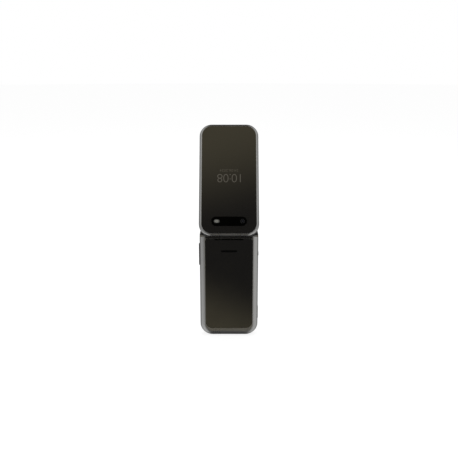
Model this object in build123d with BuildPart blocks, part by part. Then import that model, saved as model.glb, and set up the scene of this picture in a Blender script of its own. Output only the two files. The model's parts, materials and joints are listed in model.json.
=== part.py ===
from build123d import *
from math import cos, radians, sin
import os

os.makedirs("parts", exist_ok=True)

# A folding phone, standing on the bottom end of its base with the lid held open.
# Millimetres. Z runs up the base, -Y is the back of the phone and +Y its keypad side.
# The origin is the middle of the base's bottom end.

# ------------------------------------------------------------------ driving dimensions
# The whole phone
LENGTH = 107.2             # folded length, which is also the length of each half's outline
BASE_WIDTH = 53.8
LID_WIDTH = 55.0
BASE_THICK = 10.4
LID_THICK = 8.1
CORNER_R = 11.5            # corners of both outlines
FOLDED_GAP = 0.4           # keypad face to inner lid face when the phone is shut
OPEN_ANGLE = 153.0         # how far the lid opens

# Hinge
HINGE_INSET = 7.0          # hinge axis to the hinge end of both halves
HINGE_BELOW_FACE = 0.6     # hinge axis under the keypad face
KNUCKLE_R = 4.5            # outside of the lid's barrel and of the base's knuckles
KNUCKLE_LENGTH = 6.9       # each knuckle, from the side of the base inwards
HINGE_GAP = 0.3            # running gap round and beside the barrel and the knuckles
STOP_GAP = 0.35            # lid to base at the open stop
BARREL_BORE_R = 3.25
FIT = 0.05                 # gap round a piece pressed or dropped into its seat
HINGE_UNIT_LENGTH = 11.0
PIVOT_R = 1.5
PIVOT_CLEAR = 0.05         # running fit of each pivot in its socket
PIVOT_LENGTH = 3.2
SOCKET_R = 2.4
SOCKET_LENGTH = 3.6
SHOULDER_DEPTH = 5.0       # front shoulders that carry the knuckles, below the relief

# Base shell
BACK_FILLET = 5.0
FRONT_FILLET = 1.2
FASCIA_THICK = 1.6
BASE_WALL = 1.6
RIM_DEPTH = 2.8            # back rim of the frame, that the cover lies in
TOP_WALL = 2.0             # frame wall under the hinge ledge
CAVITY_TOP_R = 2.0
SEAM = 0.1                 # assembly gap between base pieces

# Battery cover
COVER_SIDE = 5.2           # cover to the side of the base
COVER_BOTTOM = 7.8
COVER_END = 12.4           # cover to the hinge end of the base's outline
COVER_THICK = 1.0
COVER_CLEAR = 0.1
COVER_BOTTOM_R = 6.3
COVER_TOP_R = 2.0
COVER_SEAT = 0.05          # gap under the cover
COVER_LEDGE = 1.5          # ledge of the frame that carries the cover's edge
OPENING_NOTCH_WIDTH = 26.0
OPENING_NOTCH_HEIGHT = 1.2
COVER_HOOK_WIDTH = 0.7
COVER_HOOK_DEPTH = 1.2
COVER_HOOK_LENGTH = 5.0
COVER_HOOK_HEIGHTS = (25.0, 76.0)

# Loudspeaker
SPEAKER_END = 3.3          # speaker to the hinge end of the opening
SPEAKER_SIDE = 2.0         # speaker to the body of the headset jack
SPEAKER_AUX_GAP = 0.6      # speaker to the card holder
SPEAKER_THICK = 3.5
SPEAKER_SLOT_END = 1.75    # ends of the slot to the sides of the speaker
SPEAKER_SLOT_HEIGHT = 1.5
MESH_BORDER = 0.5          # mesh beyond its slot on every side
MESH_THICK = 0.2
MESH_SEAT = 0.3
NIB_BELOW = 2.8            # bump under the slot that keeps it off a table
NIB_R = 0.6
NIB_RISE = 0.25

# Battery and what lies round it
BATTERY_SIDE = 1.3         # battery to the side of the opening
BATTERY_HEIGHT = 54.0
BATTERY_THICK = 5.0
BATTERY_BOTTOM = 14.0
BATTERY_CLEAR = 0.3
BATTERY_R = 1.5
CONTACT_COUNT = 3
CONTACT_PITCH = 2.6
CONTACT_WIDTH = 1.2
CONTACT_HEIGHT = 1.7
CONTACT_DEPTH = 2.8
CHASSIS_FLOOR = 0.6
CHASSIS_FLANGE_HEIGHT = 9.0
MOTOR_R = 2.0
MOTOR_LENGTH = 10.0
MOTOR_X = -9.0
CARD_HOLDER_WIDTH = 16.0
CARD_HOLDER_HEIGHT = 6.4
CARD_HOLDER_THICK = 1.4
CARD_HOLDER_X = 8.5
AUX_GAP = 5.4              # battery to the middle of the motor and of the card holder
PART_CLEAR = 0.2           # round a component in its pocket
ANTENNA_WIDTH = 34.0
ANTENNA_HEIGHT = 5.6
ANTENNA_THICK = 3.3

# Circuit board, membrane and keys
BOARD_THICK = 0.7
MEMBRANE_THICK = 0.35
CAN_SIDE = 0.6             # can to the frame and to the edge of the opening
CAN_HEIGHT = 26.0
CAN_THICK = 1.8
CAN_MIDDLE = 45.0
KEY_PROUD = 0.1
KEY_TRAVEL = 0.3
KEY_OVERTRAVEL = 0.05
KEY_CLEAR = 0.15           # cap to the edge of its opening
KEY_FLANGE_GAP = 0.05      # lip under a key to the fascia
KEY_EDGE_R = 0.25
KEY_R = 1.6
KEY_SIDE_MARGIN = 2.8      # outer keys to the side of the base
KEY_WEB_X = 0.7            # fascia between two keys
KEY_WEB_Z = 1.0
KEY_HEIGHT = 10.6
FIRST_ROW_BOTTOM = 9.2
NUMBER_ROWS = (
    ("key_star", "key_0", "key_hash"),
    ("key_7", "key_8", "key_9"),
    ("key_4", "key_5", "key_6"),
    ("key_1", "key_2", "key_3"),
)
NAVIGATION_R = 11.0
NAVIGATION_GAP = 6.9       # number keys to the navigation ring
SELECT_R = 4.5
SELECT_CLEAR = 0.2
FUNCTION_KEY_GAP = 1.6     # function keys to the navigation ring
FUNCTION_KEY_HEIGHT = 10.4
FUNCTION_KEY_SPREAD = 12.2  # between the middles of the upper and lower keys
MICROPHONE_HEIGHT = 4.6
MICROPHONE_R = 1.5
MICROPHONE_HOLE_R = 0.5

# Volume key, on the -X side
VOLUME_BOTTOM = 68.3
VOLUME_TOP = 89.0
VOLUME_THICK = 3.6
VOLUME_PROUD = 0.7
VOLUME_TRAVEL = 0.3
VOLUME_DEPTH = 6.1         # its middle, from the back face
VOLUME_FLANGE = 0.5
VOLUME_LIP = 0.5
VOLUME_CLEAR = 0.1

# Sockets, on the +X side
JACK_HEIGHT = 79.7
JACK_R = 1.75
JACK_COLLAR_R = 2.15
JACK_BODY = 4.4
JACK_LENGTH = 14.7
JACK_END_WALL = 0.8
JACK_RECESS = 0.4          # collar's mouth inside the frame's side
JACK_DEPTH = 5.3           # its middle, from the back face
USB_HEIGHT = 22.3
USB_WIDTH = 7.6
USB_THICK = 2.6
USB_LENGTH = 5.2
USB_SHELL = 0.35
USB_TONGUE_WIDTH = 3.7
USB_TONGUE_THICK = 0.5
USB_DEPTH = 5.5            # its middle, from the back face
PORT_COVER_HEIGHT = 11.6
PORT_COVER_WIDTH = 4.0
PORT_COVER_THICK = 0.9
PORT_COVER_PROUD = 0.2

# Lid shell
LID_OUTER_FILLET = 2.4
LID_INNER_FILLET = 1.2
LID_WALL = 1.8
LID_WEB = 1.0              # sheet under the outer glass
INNER_CASE_THICK = 1.6
GLASS_THICK = 0.8
GLASS_BORDER = 2.4         # outer glass to the edge of the lid
GLASS_CLEAR = 0.1
LID_SEAM = 0.1

# Camera and flash, on the outer face
PILL_WIDTH = 32.6
PILL_HEIGHT = 8.6
PILL_RISE = 0.4
PILL_CLEAR = 0.05
PILL_U = 6.5               # middle, from the hinge axis
CAMERA_X = 12.4
CAMERA_WINDOW_R = 2.3
CAMERA_WINDOW_THICK = 0.6
CAMERA_BARREL_R = 2.7
CAMERA_BODY = 7.6
CAMERA_BODY_THICK = 2.2
FLASH_X = -11.2
FLASH_WIDTH = 5.4
FLASH_HEIGHT = 3.4
FLASH_LED = 2.2
FLASH_BOARD = 5.0
WINDOW_SINK = 0.15         # windows lie this far under the pill's face

# Displays, lens and earpiece
OUTER_DISPLAY_WIDTH = 34.0
OUTER_DISPLAY_HEIGHT = 22.0
OUTER_DISPLAY_THICK = 1.4
OUTER_DISPLAY_U = 48.5
LENS_WIDTH = 47.8
LENS_HEIGHT = 83.8
LENS_U = 53.0
LENS_THICK = 0.7
LENS_R = 3.0
MAIN_DISPLAY_WIDTH = 44.6
MAIN_DISPLAY_HEIGHT = 61.0
MAIN_DISPLAY_THICK = 1.8
MAIN_DISPLAY_U = 50.0
EARPIECE_BELOW = 4.9       # earpiece slot to the lens's free end
EARPIECE_SLOT_WIDTH = 11.0
EARPIECE_SLOT_HEIGHT = 1.2
EARPIECE_WIDTH = 12.0
EARPIECE_HEIGHT = 6.0
EARPIECE_THICK = 2.4
LID_BOARD_THICK = 0.6
LID_BOARD_BOTTOM = 12.0
LID_BOARD_TOP = 84.0
MAGNET_WIDTH = 3.0
MAGNET_THICK = 1.5
MAGNET_X = -20.0
MAGNET_U = 92.0

# Screws and bumpers
SCREW_R = 0.7
SCREW_HEAD_R = 1.2
SCREW_HEAD = 0.6
EAR_R = 2.2                # ears of the frame that the base screws pass through
EAR_INSET = 1.8            # their middles, from the edges of the opening
BASE_SCREW_LENGTH = 4.2
LID_POST_R = 1.7
LID_SCREWS = ((20.5, 9.0), (14.0, 97.4))   # X and U of each pair
LID_SCREW_LENGTH = 3.0
BUMPER_R = 1.5
BUMPER_SEAT = 0.5
BUMPER_EDGE_R = 0.15
BUMPER_GAP = 0.05          # bumper to keypad face when the phone is shut

# Hinge cable
CABLE_WIDTH = 9.0
CABLE_COIL_R = 2.9
CABLE_THICK = 0.2
CABLE_END_U = 16.0
CABLE_PLUG = 2.6           # length of its plug on the lid's board

# ------------------------------------------------------------------ derived places
LEAN = 180.0 - OPEN_ANGLE  # lid from the vertical
HINGE_Y = BASE_THICK / 2 - HINGE_BELOW_FACE
HINGE_Z = LENGTH - HINGE_INSET
KNUCKLE_START = BASE_WIDTH / 2 - KNUCKLE_LENGTH  # inner end of each knuckle
LID_INNER_RISE = HINGE_BELOW_FACE + FOLDED_GAP
LID_NORMAL = Vector(0, -cos(radians(LEAN)), sin(radians(LEAN)))
HINGE = Vector(0, HINGE_Y, HINGE_Z)

# Each face has its own plane: X across, Y towards the top of the half, Z out of the face.
BACK = Plane((0, -BASE_THICK / 2, 0), x_dir=(1, 0, 0), z_dir=(0, -1, 0))
KEYPAD = Plane((0, BASE_THICK / 2, 0), x_dir=(-1, 0, 0), z_dir=(0, 1, 0))
LID_OUTSIDE = Plane(
    HINGE + LID_NORMAL * (LID_INNER_RISE + LID_THICK), x_dir=(1, 0, 0), z_dir=LID_NORMAL
)
LID_INSIDE = Plane(HINGE + LID_NORMAL * LID_INNER_RISE, x_dir=(-1, 0, 0), z_dir=-LID_NORMAL)
CUT = Mode.SUBTRACT
KEEP = Mode.INTERSECT

# Depths in the base, from its back face
COVER_FAR = COVER_THICK + COVER_SEAT
DECK = COVER_THICK + SEAM                      # chassis deck, under the cover
BATTERY_NEAR = DECK + SEAM
BATTERY_FAR = BATTERY_NEAR + BATTERY_THICK
BAY_FLOOR = BATTERY_FAR + FIT
CHASSIS_FAR = BAY_FLOOR + CHASSIS_FLOOR
BOARD_FAR = CHASSIS_FAR + BOARD_THICK
MEMBRANE_FAR = BOARD_FAR + MEMBRANE_THICK
FRAME_FAR = BASE_THICK - FASCIA_THICK
KEY_FLANGE_NEAR = FASCIA_THICK + KEY_FLANGE_GAP  # from the keypad face
KEY_FLANGE_FAR = BASE_THICK - MEMBRANE_FAR - KEY_TRAVEL - KEY_OVERTRAVEL

# Room inside the frame, and the opening under the battery cover
BASE_MIDDLE = LENGTH / 2
CAVITY_WIDTH = BASE_WIDTH - 2 * BASE_WALL
CAVITY_TOP = HINGE_Z - HINGE_INSET - TOP_WALL + FRONT_FILLET / 2
CAVITY_HEIGHT = CAVITY_TOP - BASE_WALL
CAVITY_MIDDLE = BASE_WALL + CAVITY_HEIGHT / 2
COVER_WIDTH = BASE_WIDTH - 2 * COVER_SIDE
COVER_TOP = LENGTH - COVER_END
COVER_HEIGHT = COVER_TOP - COVER_BOTTOM
COVER_MIDDLE = (COVER_TOP + COVER_BOTTOM) / 2
OPENING_WIDTH = COVER_WIDTH + 2 * COVER_CLEAR - 2 * COVER_LEDGE
OPENING_BOTTOM = COVER_BOTTOM - COVER_CLEAR + COVER_LEDGE
OPENING_HEIGHT = CAVITY_TOP - SEAM - OPENING_BOTTOM
OPENING_AT = (0, OPENING_BOTTOM + OPENING_HEIGHT / 2)
BASE_SCREWS = [
    (x * (OPENING_WIDTH / 2 - EAR_INSET), OPENING_AT[1] + z * (OPENING_HEIGHT / 2 - EAR_INSET))
    for x in (-1, 1)
    for z in (-1, 1)
]
COVER_HOOKS = [
    (x * (OPENING_WIDTH / 2 - 2 * SEAM - COVER_HOOK_WIDTH / 2), z)
    for x in (-1, 1)
    for z in COVER_HOOK_HEIGHTS
]
BATTERY_WIDTH = OPENING_WIDTH - 2 * BATTERY_SIDE
BATTERY_TOP = BATTERY_BOTTOM + BATTERY_HEIGHT
BATTERY_AT = (0, BATTERY_BOTTOM + BATTERY_HEIGHT / 2)
CONTACT_BOTTOM = BATTERY_TOP + FIT
CONTACT_SPOTS = [
    (CONTACT_PITCH * (i - (CONTACT_COUNT - 1) / 2), CONTACT_BOTTOM + CONTACT_HEIGHT / 2)
    for i in range(CONTACT_COUNT)
]
AUX_HEIGHT = BATTERY_TOP + AUX_GAP
CARD_AT = (CARD_HOLDER_X, AUX_HEIGHT)
MOTOR_AT = (MOTOR_X, AUX_HEIGHT)
ANTENNA_AT = (0, (BASE_WALL + OPENING_BOTTOM) / 2)
CAN_WIDTH = (CAVITY_WIDTH - OPENING_WIDTH) / 2 - 2 * CAN_SIDE
JACK_OUTER = BASE_WIDTH / 2 - JACK_RECESS
JACK_INNER = JACK_OUTER - JACK_LENGTH
SPEAKER_WIDTH = 2 * (JACK_INNER - JACK_END_WALL - SPEAKER_SIDE)
SPEAKER_SLOT_WIDTH = SPEAKER_WIDTH - 2 * SPEAKER_SLOT_END
SPEAKER_TOP = OPENING_BOTTOM + OPENING_HEIGHT - SPEAKER_END
SPEAKER_BOTTOM = AUX_HEIGHT + CARD_HOLDER_HEIGHT / 2 + SPEAKER_AUX_GAP
SPEAKER_BODY_HEIGHT = SPEAKER_TOP - SPEAKER_BOTTOM
SPEAKER_AT = (0, (SPEAKER_TOP + SPEAKER_BOTTOM) / 2)
NIB_AT = (0, SPEAKER_AT[1] - NIB_BELOW)

# Keys, on the keypad face
KEY_WIDTH = (BASE_WIDTH - 2 * KEY_SIDE_MARGIN - 2 * KEY_WEB_X) / 3
KEY_PITCH_X = KEY_WIDTH + KEY_WEB_X
KEY_PITCH_Z = KEY_HEIGHT + KEY_WEB_Z
KEY_LIP = KEY_WEB_X / 2 - KEY_FLANGE_GAP * 2     # flange beyond the cap
NUMBER_TOP = FIRST_ROW_BOTTOM + len(NUMBER_ROWS) * KEY_PITCH_Z - KEY_WEB_Z
NUMBER_KEYS = {
    name: ((column - 1) * KEY_PITCH_X, FIRST_ROW_BOTTOM + KEY_HEIGHT / 2 + row * KEY_PITCH_Z)
    for row, names in enumerate(NUMBER_ROWS)
    for column, name in enumerate(names)
}
NAVIGATION_AT = (0, NUMBER_TOP + NAVIGATION_GAP + NAVIGATION_R)
FUNCTION_KEY_WIDTH = BASE_WIDTH / 2 - KEY_SIDE_MARGIN - NAVIGATION_R - FUNCTION_KEY_GAP
FUNCTION_KEY_X = BASE_WIDTH / 2 - KEY_SIDE_MARGIN - FUNCTION_KEY_WIDTH / 2
FUNCTION_KEYS = {
    name: (side * FUNCTION_KEY_X, NAVIGATION_AT[1] + level * FUNCTION_KEY_SPREAD / 2)
    for name, side, level in (
        ("left_soft_key", -1, 1),
        ("right_soft_key", 1, 1),
        ("call_key", -1, -1),
        ("end_key", 1, -1),
    )
}

# Sides of the base
VOLUME_LENGTH = VOLUME_TOP - VOLUME_BOTTOM
VOLUME_MIDDLE = (VOLUME_TOP + VOLUME_BOTTOM) / 2
VOLUME_INNER = CAVITY_WIDTH / 2 - SEAM - VOLUME_FLANGE
PORT_COVER_OUTER = BASE_WIDTH / 2 + PORT_COVER_PROUD
PORT_COVER_INNER = PORT_COVER_OUTER - PORT_COVER_THICK
USB_OUTER = PORT_COVER_INNER - SEAM
SHOULDER_BOTTOM = HINGE_Z - KNUCKLE_R - SHOULDER_DEPTH

# Lid, from its outer face unless a name says otherwise
LID_MIDDLE = LENGTH / 2 - HINGE_INSET
LID_FRAME_FAR = LID_THICK - INNER_CASE_THICK
WEB_FAR = GLASS_THICK + LID_WEB
LID_CAVITY_WIDTH = LID_WIDTH - 2 * LID_WALL
LID_CAVITY_TOP = LENGTH - HINGE_INSET - LID_WALL
LID_CAVITY_BOTTOM = KNUCKLE_R + 2 * HINGE_GAP
LID_CAVITY_HEIGHT = LID_CAVITY_TOP - LID_CAVITY_BOTTOM
LID_CAVITY_AT = (0, (LID_CAVITY_TOP + LID_CAVITY_BOTTOM) / 2)
BARREL_HALF = KNUCKLE_START - HINGE_GAP - SEAM
BARREL_ROOM_END = -HINGE_INSET + LID_OUTER_FILLET
BARREL_ROOM_HEIGHT = LID_CAVITY_BOTTOM - BARREL_ROOM_END + LID_WALL
BARREL_ROOM_AT = (0, BARREL_ROOM_END + BARREL_ROOM_HEIGHT / 2)
GLASS_WIDTH = LID_WIDTH - 2 * GLASS_BORDER
GLASS_HEIGHT = LENGTH - 2 * GLASS_BORDER
GLASS_R = CORNER_R - GLASS_BORDER
GLASS_AT = (0, LID_MIDDLE)
PILL_AT = (0, PILL_U)
CAMERA_AT = (CAMERA_X, PILL_U)
FLASH_AT = (FLASH_X, PILL_U)
OUTER_DISPLAY_AT = (0, OUTER_DISPLAY_U)
LENS_AT = (0, LENS_U)
MAIN_DISPLAY_AT = (0, MAIN_DISPLAY_U)
MAIN_DISPLAY_NEAR = LENS_THICK + FIT             # from the inner face
EARPIECE_AT = (0, LENS_U + LENS_HEIGHT / 2 - EARPIECE_BELOW)
EARPIECE_NEAR = INNER_CASE_THICK + FIT           # from the inner face
LID_BOARD_NEAR = MAIN_DISPLAY_NEAR + MAIN_DISPLAY_THICK + SEAM
LID_BOARD_FAR = LID_BOARD_NEAR + LID_BOARD_THICK
LID_SCREW_SPOTS = [(side * x, u) for side in (-1, 1) for x, u in LID_SCREWS]
CABLE_FAR = CABLE_COIL_R - LID_INNER_RISE        # from the inner face


# ------------------------------------------------------------------ shapes used again and again
def slab(face, near, far, width, height, radius=0.0, at=(0, 0), mode=Mode.ADD):
    """A plate between two depths under a face, with its corners rounded."""
    with BuildSketch(face.offset(-far)) as outline:
        with Locations(at):
            if radius > 0:
                RectangleRounded(width, height, radius)
            else:
                Rectangle(width, height)
    extrude(outline.sketch, amount=far - near, mode=mode)


def disc(face, near, far, radius, at=(0, 0), mode=Mode.ADD):
    """A round plate, post or hole between two depths under a face."""
    with BuildSketch(face.offset(-far)) as outline:
        with Locations(at):
            Circle(radius)
    extrude(outline.sketch, amount=far - near, mode=mode)


def stadium(face, near, far, width, height, at=(0, 0), mode=Mode.ADD):
    """A plate with half-round ends between two depths under a face."""
    with BuildSketch(face.offset(-far)) as outline:
        with Locations(at):
            SlotOverall(width, height)
    extrude(outline.sketch, amount=far - near, mode=mode)


def rod(radius, start, end, y, z, mode=Mode.ADD):
    """A rod along X between two places."""
    with BuildSketch(Plane((start, y, z), x_dir=(0, 1, 0), z_dir=(1, 0, 0))) as circle:
        Circle(radius)
    extrude(circle.sketch, amount=end - start, mode=mode)


def hinge_rod(radius, start, end, mode=Mode.ADD):
    """A rod on the hinge axis."""
    rod(radius, start, end, HINGE_Y, HINGE_Z, mode)


def hinge_rods(radius, start, end, mode=Mode.ADD):
    """Two rods on the hinge axis, one on each side of the middle."""
    hinge_rod(radius, start, end, mode)
    hinge_rod(radius, -end, -start, mode)


def side_block(side, inner, outer, depth, height, thick, length, radius=0.0, mode=Mode.ADD):
    """A block in one side of the base: its X range, its middle and its section."""
    wall = Plane((side * inner, 0, 0), x_dir=(0, side, 0), z_dir=(side, 0, 0))
    with BuildSketch(wall) as outline:
        with Locations((side * (depth - BASE_THICK / 2), height)):
            if radius > 0:
                RectangleRounded(thick, length, radius)
            else:
                Rectangle(thick, length)
    extrude(outline.sketch, amount=outer - inner, mode=mode)


def cover_plate(near, far, grow, mode=Mode.ADD):
    """The battery cover's outline, grown by a clearance, between two depths."""
    with BuildSketch(BACK.offset(-far)) as outline:
        with Locations((0, COVER_MIDDLE)):
            Rectangle(COVER_WIDTH + 2 * grow, COVER_HEIGHT + 2 * grow)
        fillet(outline.vertices().group_by(Axis.Y)[0], COVER_BOTTOM_R + grow)
        fillet(outline.vertices().group_by(Axis.Y)[-1], COVER_TOP_R + grow)
    extrude(outline.sketch, amount=far - near, mode=mode)


def cavity_plate(near, far, clearance, mode=Mode.ADD):
    """The room inside the frame's wall, less a clearance, between two depths."""
    with BuildSketch(BACK.offset(-far)) as outline:
        with Locations((0, CAVITY_MIDDLE)):
            Rectangle(CAVITY_WIDTH - 2 * clearance, CAVITY_HEIGHT - 2 * clearance)
        fillet(outline.vertices().group_by(Axis.Y)[0], CORNER_R - BASE_WALL - clearance)
        fillet(outline.vertices().group_by(Axis.Y)[-1], CAVITY_TOP_R - clearance)
    extrude(outline.sketch, amount=far - near, mode=mode)


def shoulders(clearance, mode):
    """The corners of the keypad side that carry the knuckles and belong to the frame."""
    inner = KNUCKLE_START - clearance
    for side in (-1, 1):
        slab(
            KEYPAD,
            -KNUCKLE_R,
            FASCIA_THICK,
            BASE_WIDTH - inner,
            LENGTH,
            at=(side * (BASE_WIDTH + inner) / 2, SHOULDER_BOTTOM - clearance + LENGTH / 2),
            mode=mode,
        )


def volume_room():
    """Room for the volume key's flange and its travel."""
    side_block(
        -1,
        VOLUME_INNER - VOLUME_TRAVEL - SEAM,
        BASE_WIDTH,
        VOLUME_DEPTH,
        VOLUME_MIDDLE,
        VOLUME_THICK + 2 * VOLUME_LIP,
        VOLUME_LENGTH + 4 * VOLUME_LIP,
        mode=CUT,
    )


def jack_room():
    """Room for the body of the headset jack."""
    side_block(
        1,
        JACK_INNER - JACK_END_WALL - SEAM,
        BASE_WIDTH,
        JACK_DEPTH,
        JACK_HEIGHT,
        JACK_BODY + 2 * SEAM,
        JACK_BODY + 2 * SEAM,
        mode=CUT,
    )


def finish(builder, name):
    """Name a finished piece and write it."""
    builder.part.label = name
    export_step(builder.part, f"parts/{name}.step")


# ------------------------------------------------------------------ outlines of the two halves
with BuildPart() as base_blank:
    slab(BACK, 0, BASE_THICK, BASE_WIDTH, LENGTH, CORNER_R, (0, BASE_MIDDLE))
    fillet(base_blank.faces().sort_by(Axis.Y)[0].edges(), BACK_FILLET)
    fillet(base_blank.faces().sort_by(Axis.Y)[-1].edges(), FRONT_FILLET)
    # room for the end of the open lid, and for the barrel
    slab(
        LID_OUTSIDE,
        -LENGTH,
        LID_THICK + STOP_GAP,
        2 * BASE_WIDTH,
        LENGTH,
        at=(0, LENGTH / 2 - HINGE_INSET - STOP_GAP),
        mode=CUT,
    )
    hinge_rod(KNUCKLE_R + HINGE_GAP, -KNUCKLE_START, KNUCKLE_START, CUT)

with BuildPart() as knuckles:
    hinge_rods(KNUCKLE_R, KNUCKLE_START, BASE_WIDTH / 2)
    slab(
        KEYPAD, -LENGTH / 2, LENGTH / 2, BASE_WIDTH, LENGTH, CORNER_R, (0, BASE_MIDDLE), KEEP
    )

with BuildPart() as lid_blank:
    slab(LID_OUTSIDE, 0, LID_THICK, LID_WIDTH, LENGTH, CORNER_R, (0, LID_MIDDLE))
    outwards = Axis((0, 0, 0), LID_NORMAL)
    fillet(lid_blank.faces().sort_by(outwards)[-1].edges(), LID_OUTER_FILLET)
    fillet(lid_blank.faces().sort_by(outwards)[0].edges(), LID_INNER_FILLET)
    hinge_rods(KNUCKLE_R + HINGE_GAP, KNUCKLE_START - HINGE_GAP, LID_WIDTH, CUT)

with BuildPart() as fascia_room:
    slab(KEYPAD, 0, FASCIA_THICK, BASE_WIDTH, LENGTH, at=(0, BASE_MIDDLE))
    shoulders(0, CUT)

# ------------------------------------------------------------------ base: shells
with BuildPart() as base_frame:
    add(base_blank.part)
    add(fascia_room.part, mode=CUT)
    add(knuckles.part)
    cavity_plate(RIM_DEPTH, FRAME_FAR, 0, CUT)
    cover_plate(0, COVER_FAR, COVER_CLEAR, CUT)
    slab(BACK, COVER_FAR, RIM_DEPTH, OPENING_WIDTH, OPENING_HEIGHT, COVER_TOP_R, OPENING_AT, CUT)
    for spot in BASE_SCREWS:
        disc(BACK, COVER_FAR, RIM_DEPTH, EAR_R, spot)
    for spot in BASE_SCREWS:
        disc(BACK, 0, COVER_FAR + SCREW_HEAD, SCREW_HEAD_R + FIT, spot, CUT)
        disc(BACK, 0, RIM_DEPTH, SCREW_R + FIT, spot, CUT)
    hinge_rods(SOCKET_R, KNUCKLE_START - SEAM, KNUCKLE_START + SOCKET_LENGTH, CUT)
    side_block(
        -1,
        CAVITY_WIDTH / 2 - SEAM,
        BASE_WIDTH,
        VOLUME_DEPTH,
        VOLUME_MIDDLE,
        VOLUME_THICK + 2 * VOLUME_CLEAR,
        VOLUME_LENGTH + 2 * VOLUME_CLEAR,
        VOLUME_THICK / 2,
        CUT,
    )
    rod(
        JACK_COLLAR_R + FIT,
        CAVITY_WIDTH / 2 - SEAM,
        BASE_WIDTH,
        JACK_DEPTH - BASE_THICK / 2,
        JACK_HEIGHT,
        CUT,
    )
    side_block(
        1,
        CAVITY_WIDTH / 2 - SEAM,
        BASE_WIDTH,
        USB_DEPTH,
        USB_HEIGHT,
        USB_THICK + 2 * FIT,
        USB_WIDTH + 2 * FIT,
        USB_SHELL,
        CUT,
    )
    side_block(
        1,
        PORT_COVER_INNER - FIT,
        BASE_WIDTH,
        USB_DEPTH,
        USB_HEIGHT,
        PORT_COVER_WIDTH + 2 * SEAM,
        PORT_COVER_HEIGHT + 2 * SEAM,
        mode=CUT,
    )
finish(base_frame, "base_frame")

with BuildPart() as keypad_fascia:
    add(base_blank.part)
    slab(KEYPAD, 0, FASCIA_THICK, BASE_WIDTH, LENGTH, at=(0, BASE_MIDDLE), mode=KEEP)
    shoulders(SEAM, CUT)
    for key_at in NUMBER_KEYS.values():
        width = KEY_WIDTH + 2 * KEY_CLEAR
        height = KEY_HEIGHT + 2 * KEY_CLEAR
        slab(KEYPAD, -SEAM, FASCIA_THICK, width, height, KEY_R + KEY_CLEAR, key_at, CUT)
    for key_at in FUNCTION_KEYS.values():
        width = FUNCTION_KEY_WIDTH + 2 * KEY_CLEAR
        height = FUNCTION_KEY_HEIGHT + 2 * KEY_CLEAR
        slab(KEYPAD, -SEAM, FASCIA_THICK, width, height, KEY_R + KEY_CLEAR, key_at, CUT)
    disc(KEYPAD, -SEAM, FASCIA_THICK, NAVIGATION_R + KEY_CLEAR, NAVIGATION_AT, CUT)
    disc(KEYPAD, -SEAM, FASCIA_THICK, MICROPHONE_HOLE_R, (0, MICROPHONE_HEIGHT), CUT)
finish(keypad_fascia, "keypad_fascia")

with BuildPart() as battery_cover:
    cover_plate(0, COVER_THICK, 0)
    notch_at = (0, COVER_TOP - OPENING_NOTCH_HEIGHT / 2)
    slab(BACK, 0, COVER_THICK, OPENING_NOTCH_WIDTH, OPENING_NOTCH_HEIGHT, at=notch_at, mode=CUT)
    stadium(BACK, 0, COVER_THICK, SPEAKER_SLOT_WIDTH, SPEAKER_SLOT_HEIGHT, SPEAKER_AT, CUT)
    stadium(
        BACK,
        COVER_THICK - MESH_SEAT,
        COVER_THICK,
        SPEAKER_SLOT_WIDTH + 2 * MESH_BORDER + 2 * FIT,
        SPEAKER_SLOT_HEIGHT + 2 * MESH_BORDER + 2 * FIT,
        SPEAKER_AT,
        CUT,
    )
    disc(BACK, -NIB_RISE, COVER_THICK / 2, NIB_R, NIB_AT)
    for spot in COVER_HOOKS:
        hook_far = COVER_THICK + COVER_HOOK_DEPTH
        slab(BACK, COVER_THICK / 2, hook_far, COVER_HOOK_WIDTH, COVER_HOOK_LENGTH, at=spot)
finish(battery_cover, "battery_cover")

with BuildPart() as speaker_mesh:
    stadium(
        BACK,
        COVER_THICK - MESH_SEAT,
        COVER_THICK - MESH_SEAT + MESH_THICK,
        SPEAKER_SLOT_WIDTH + 2 * MESH_BORDER,
        SPEAKER_SLOT_HEIGHT + 2 * MESH_BORDER,
        SPEAKER_AT,
    )
finish(speaker_mesh, "speaker_mesh")

# ------------------------------------------------------------------ base: inner pieces
SPEAKER_FAR = BATTERY_NEAR + SPEAKER_THICK
CARD_FAR = BATTERY_NEAR + CARD_HOLDER_THICK
MOTOR_FAR = BATTERY_NEAR + 2 * MOTOR_R
CONTACT_FAR = BATTERY_NEAR + CONTACT_DEPTH
FLANGE_ENDS = (
    BASE_WALL + SEAM + CHASSIS_FLANGE_HEIGHT / 2,
    CAVITY_TOP - SEAM - CHASSIS_FLANGE_HEIGHT / 2,
)

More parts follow.
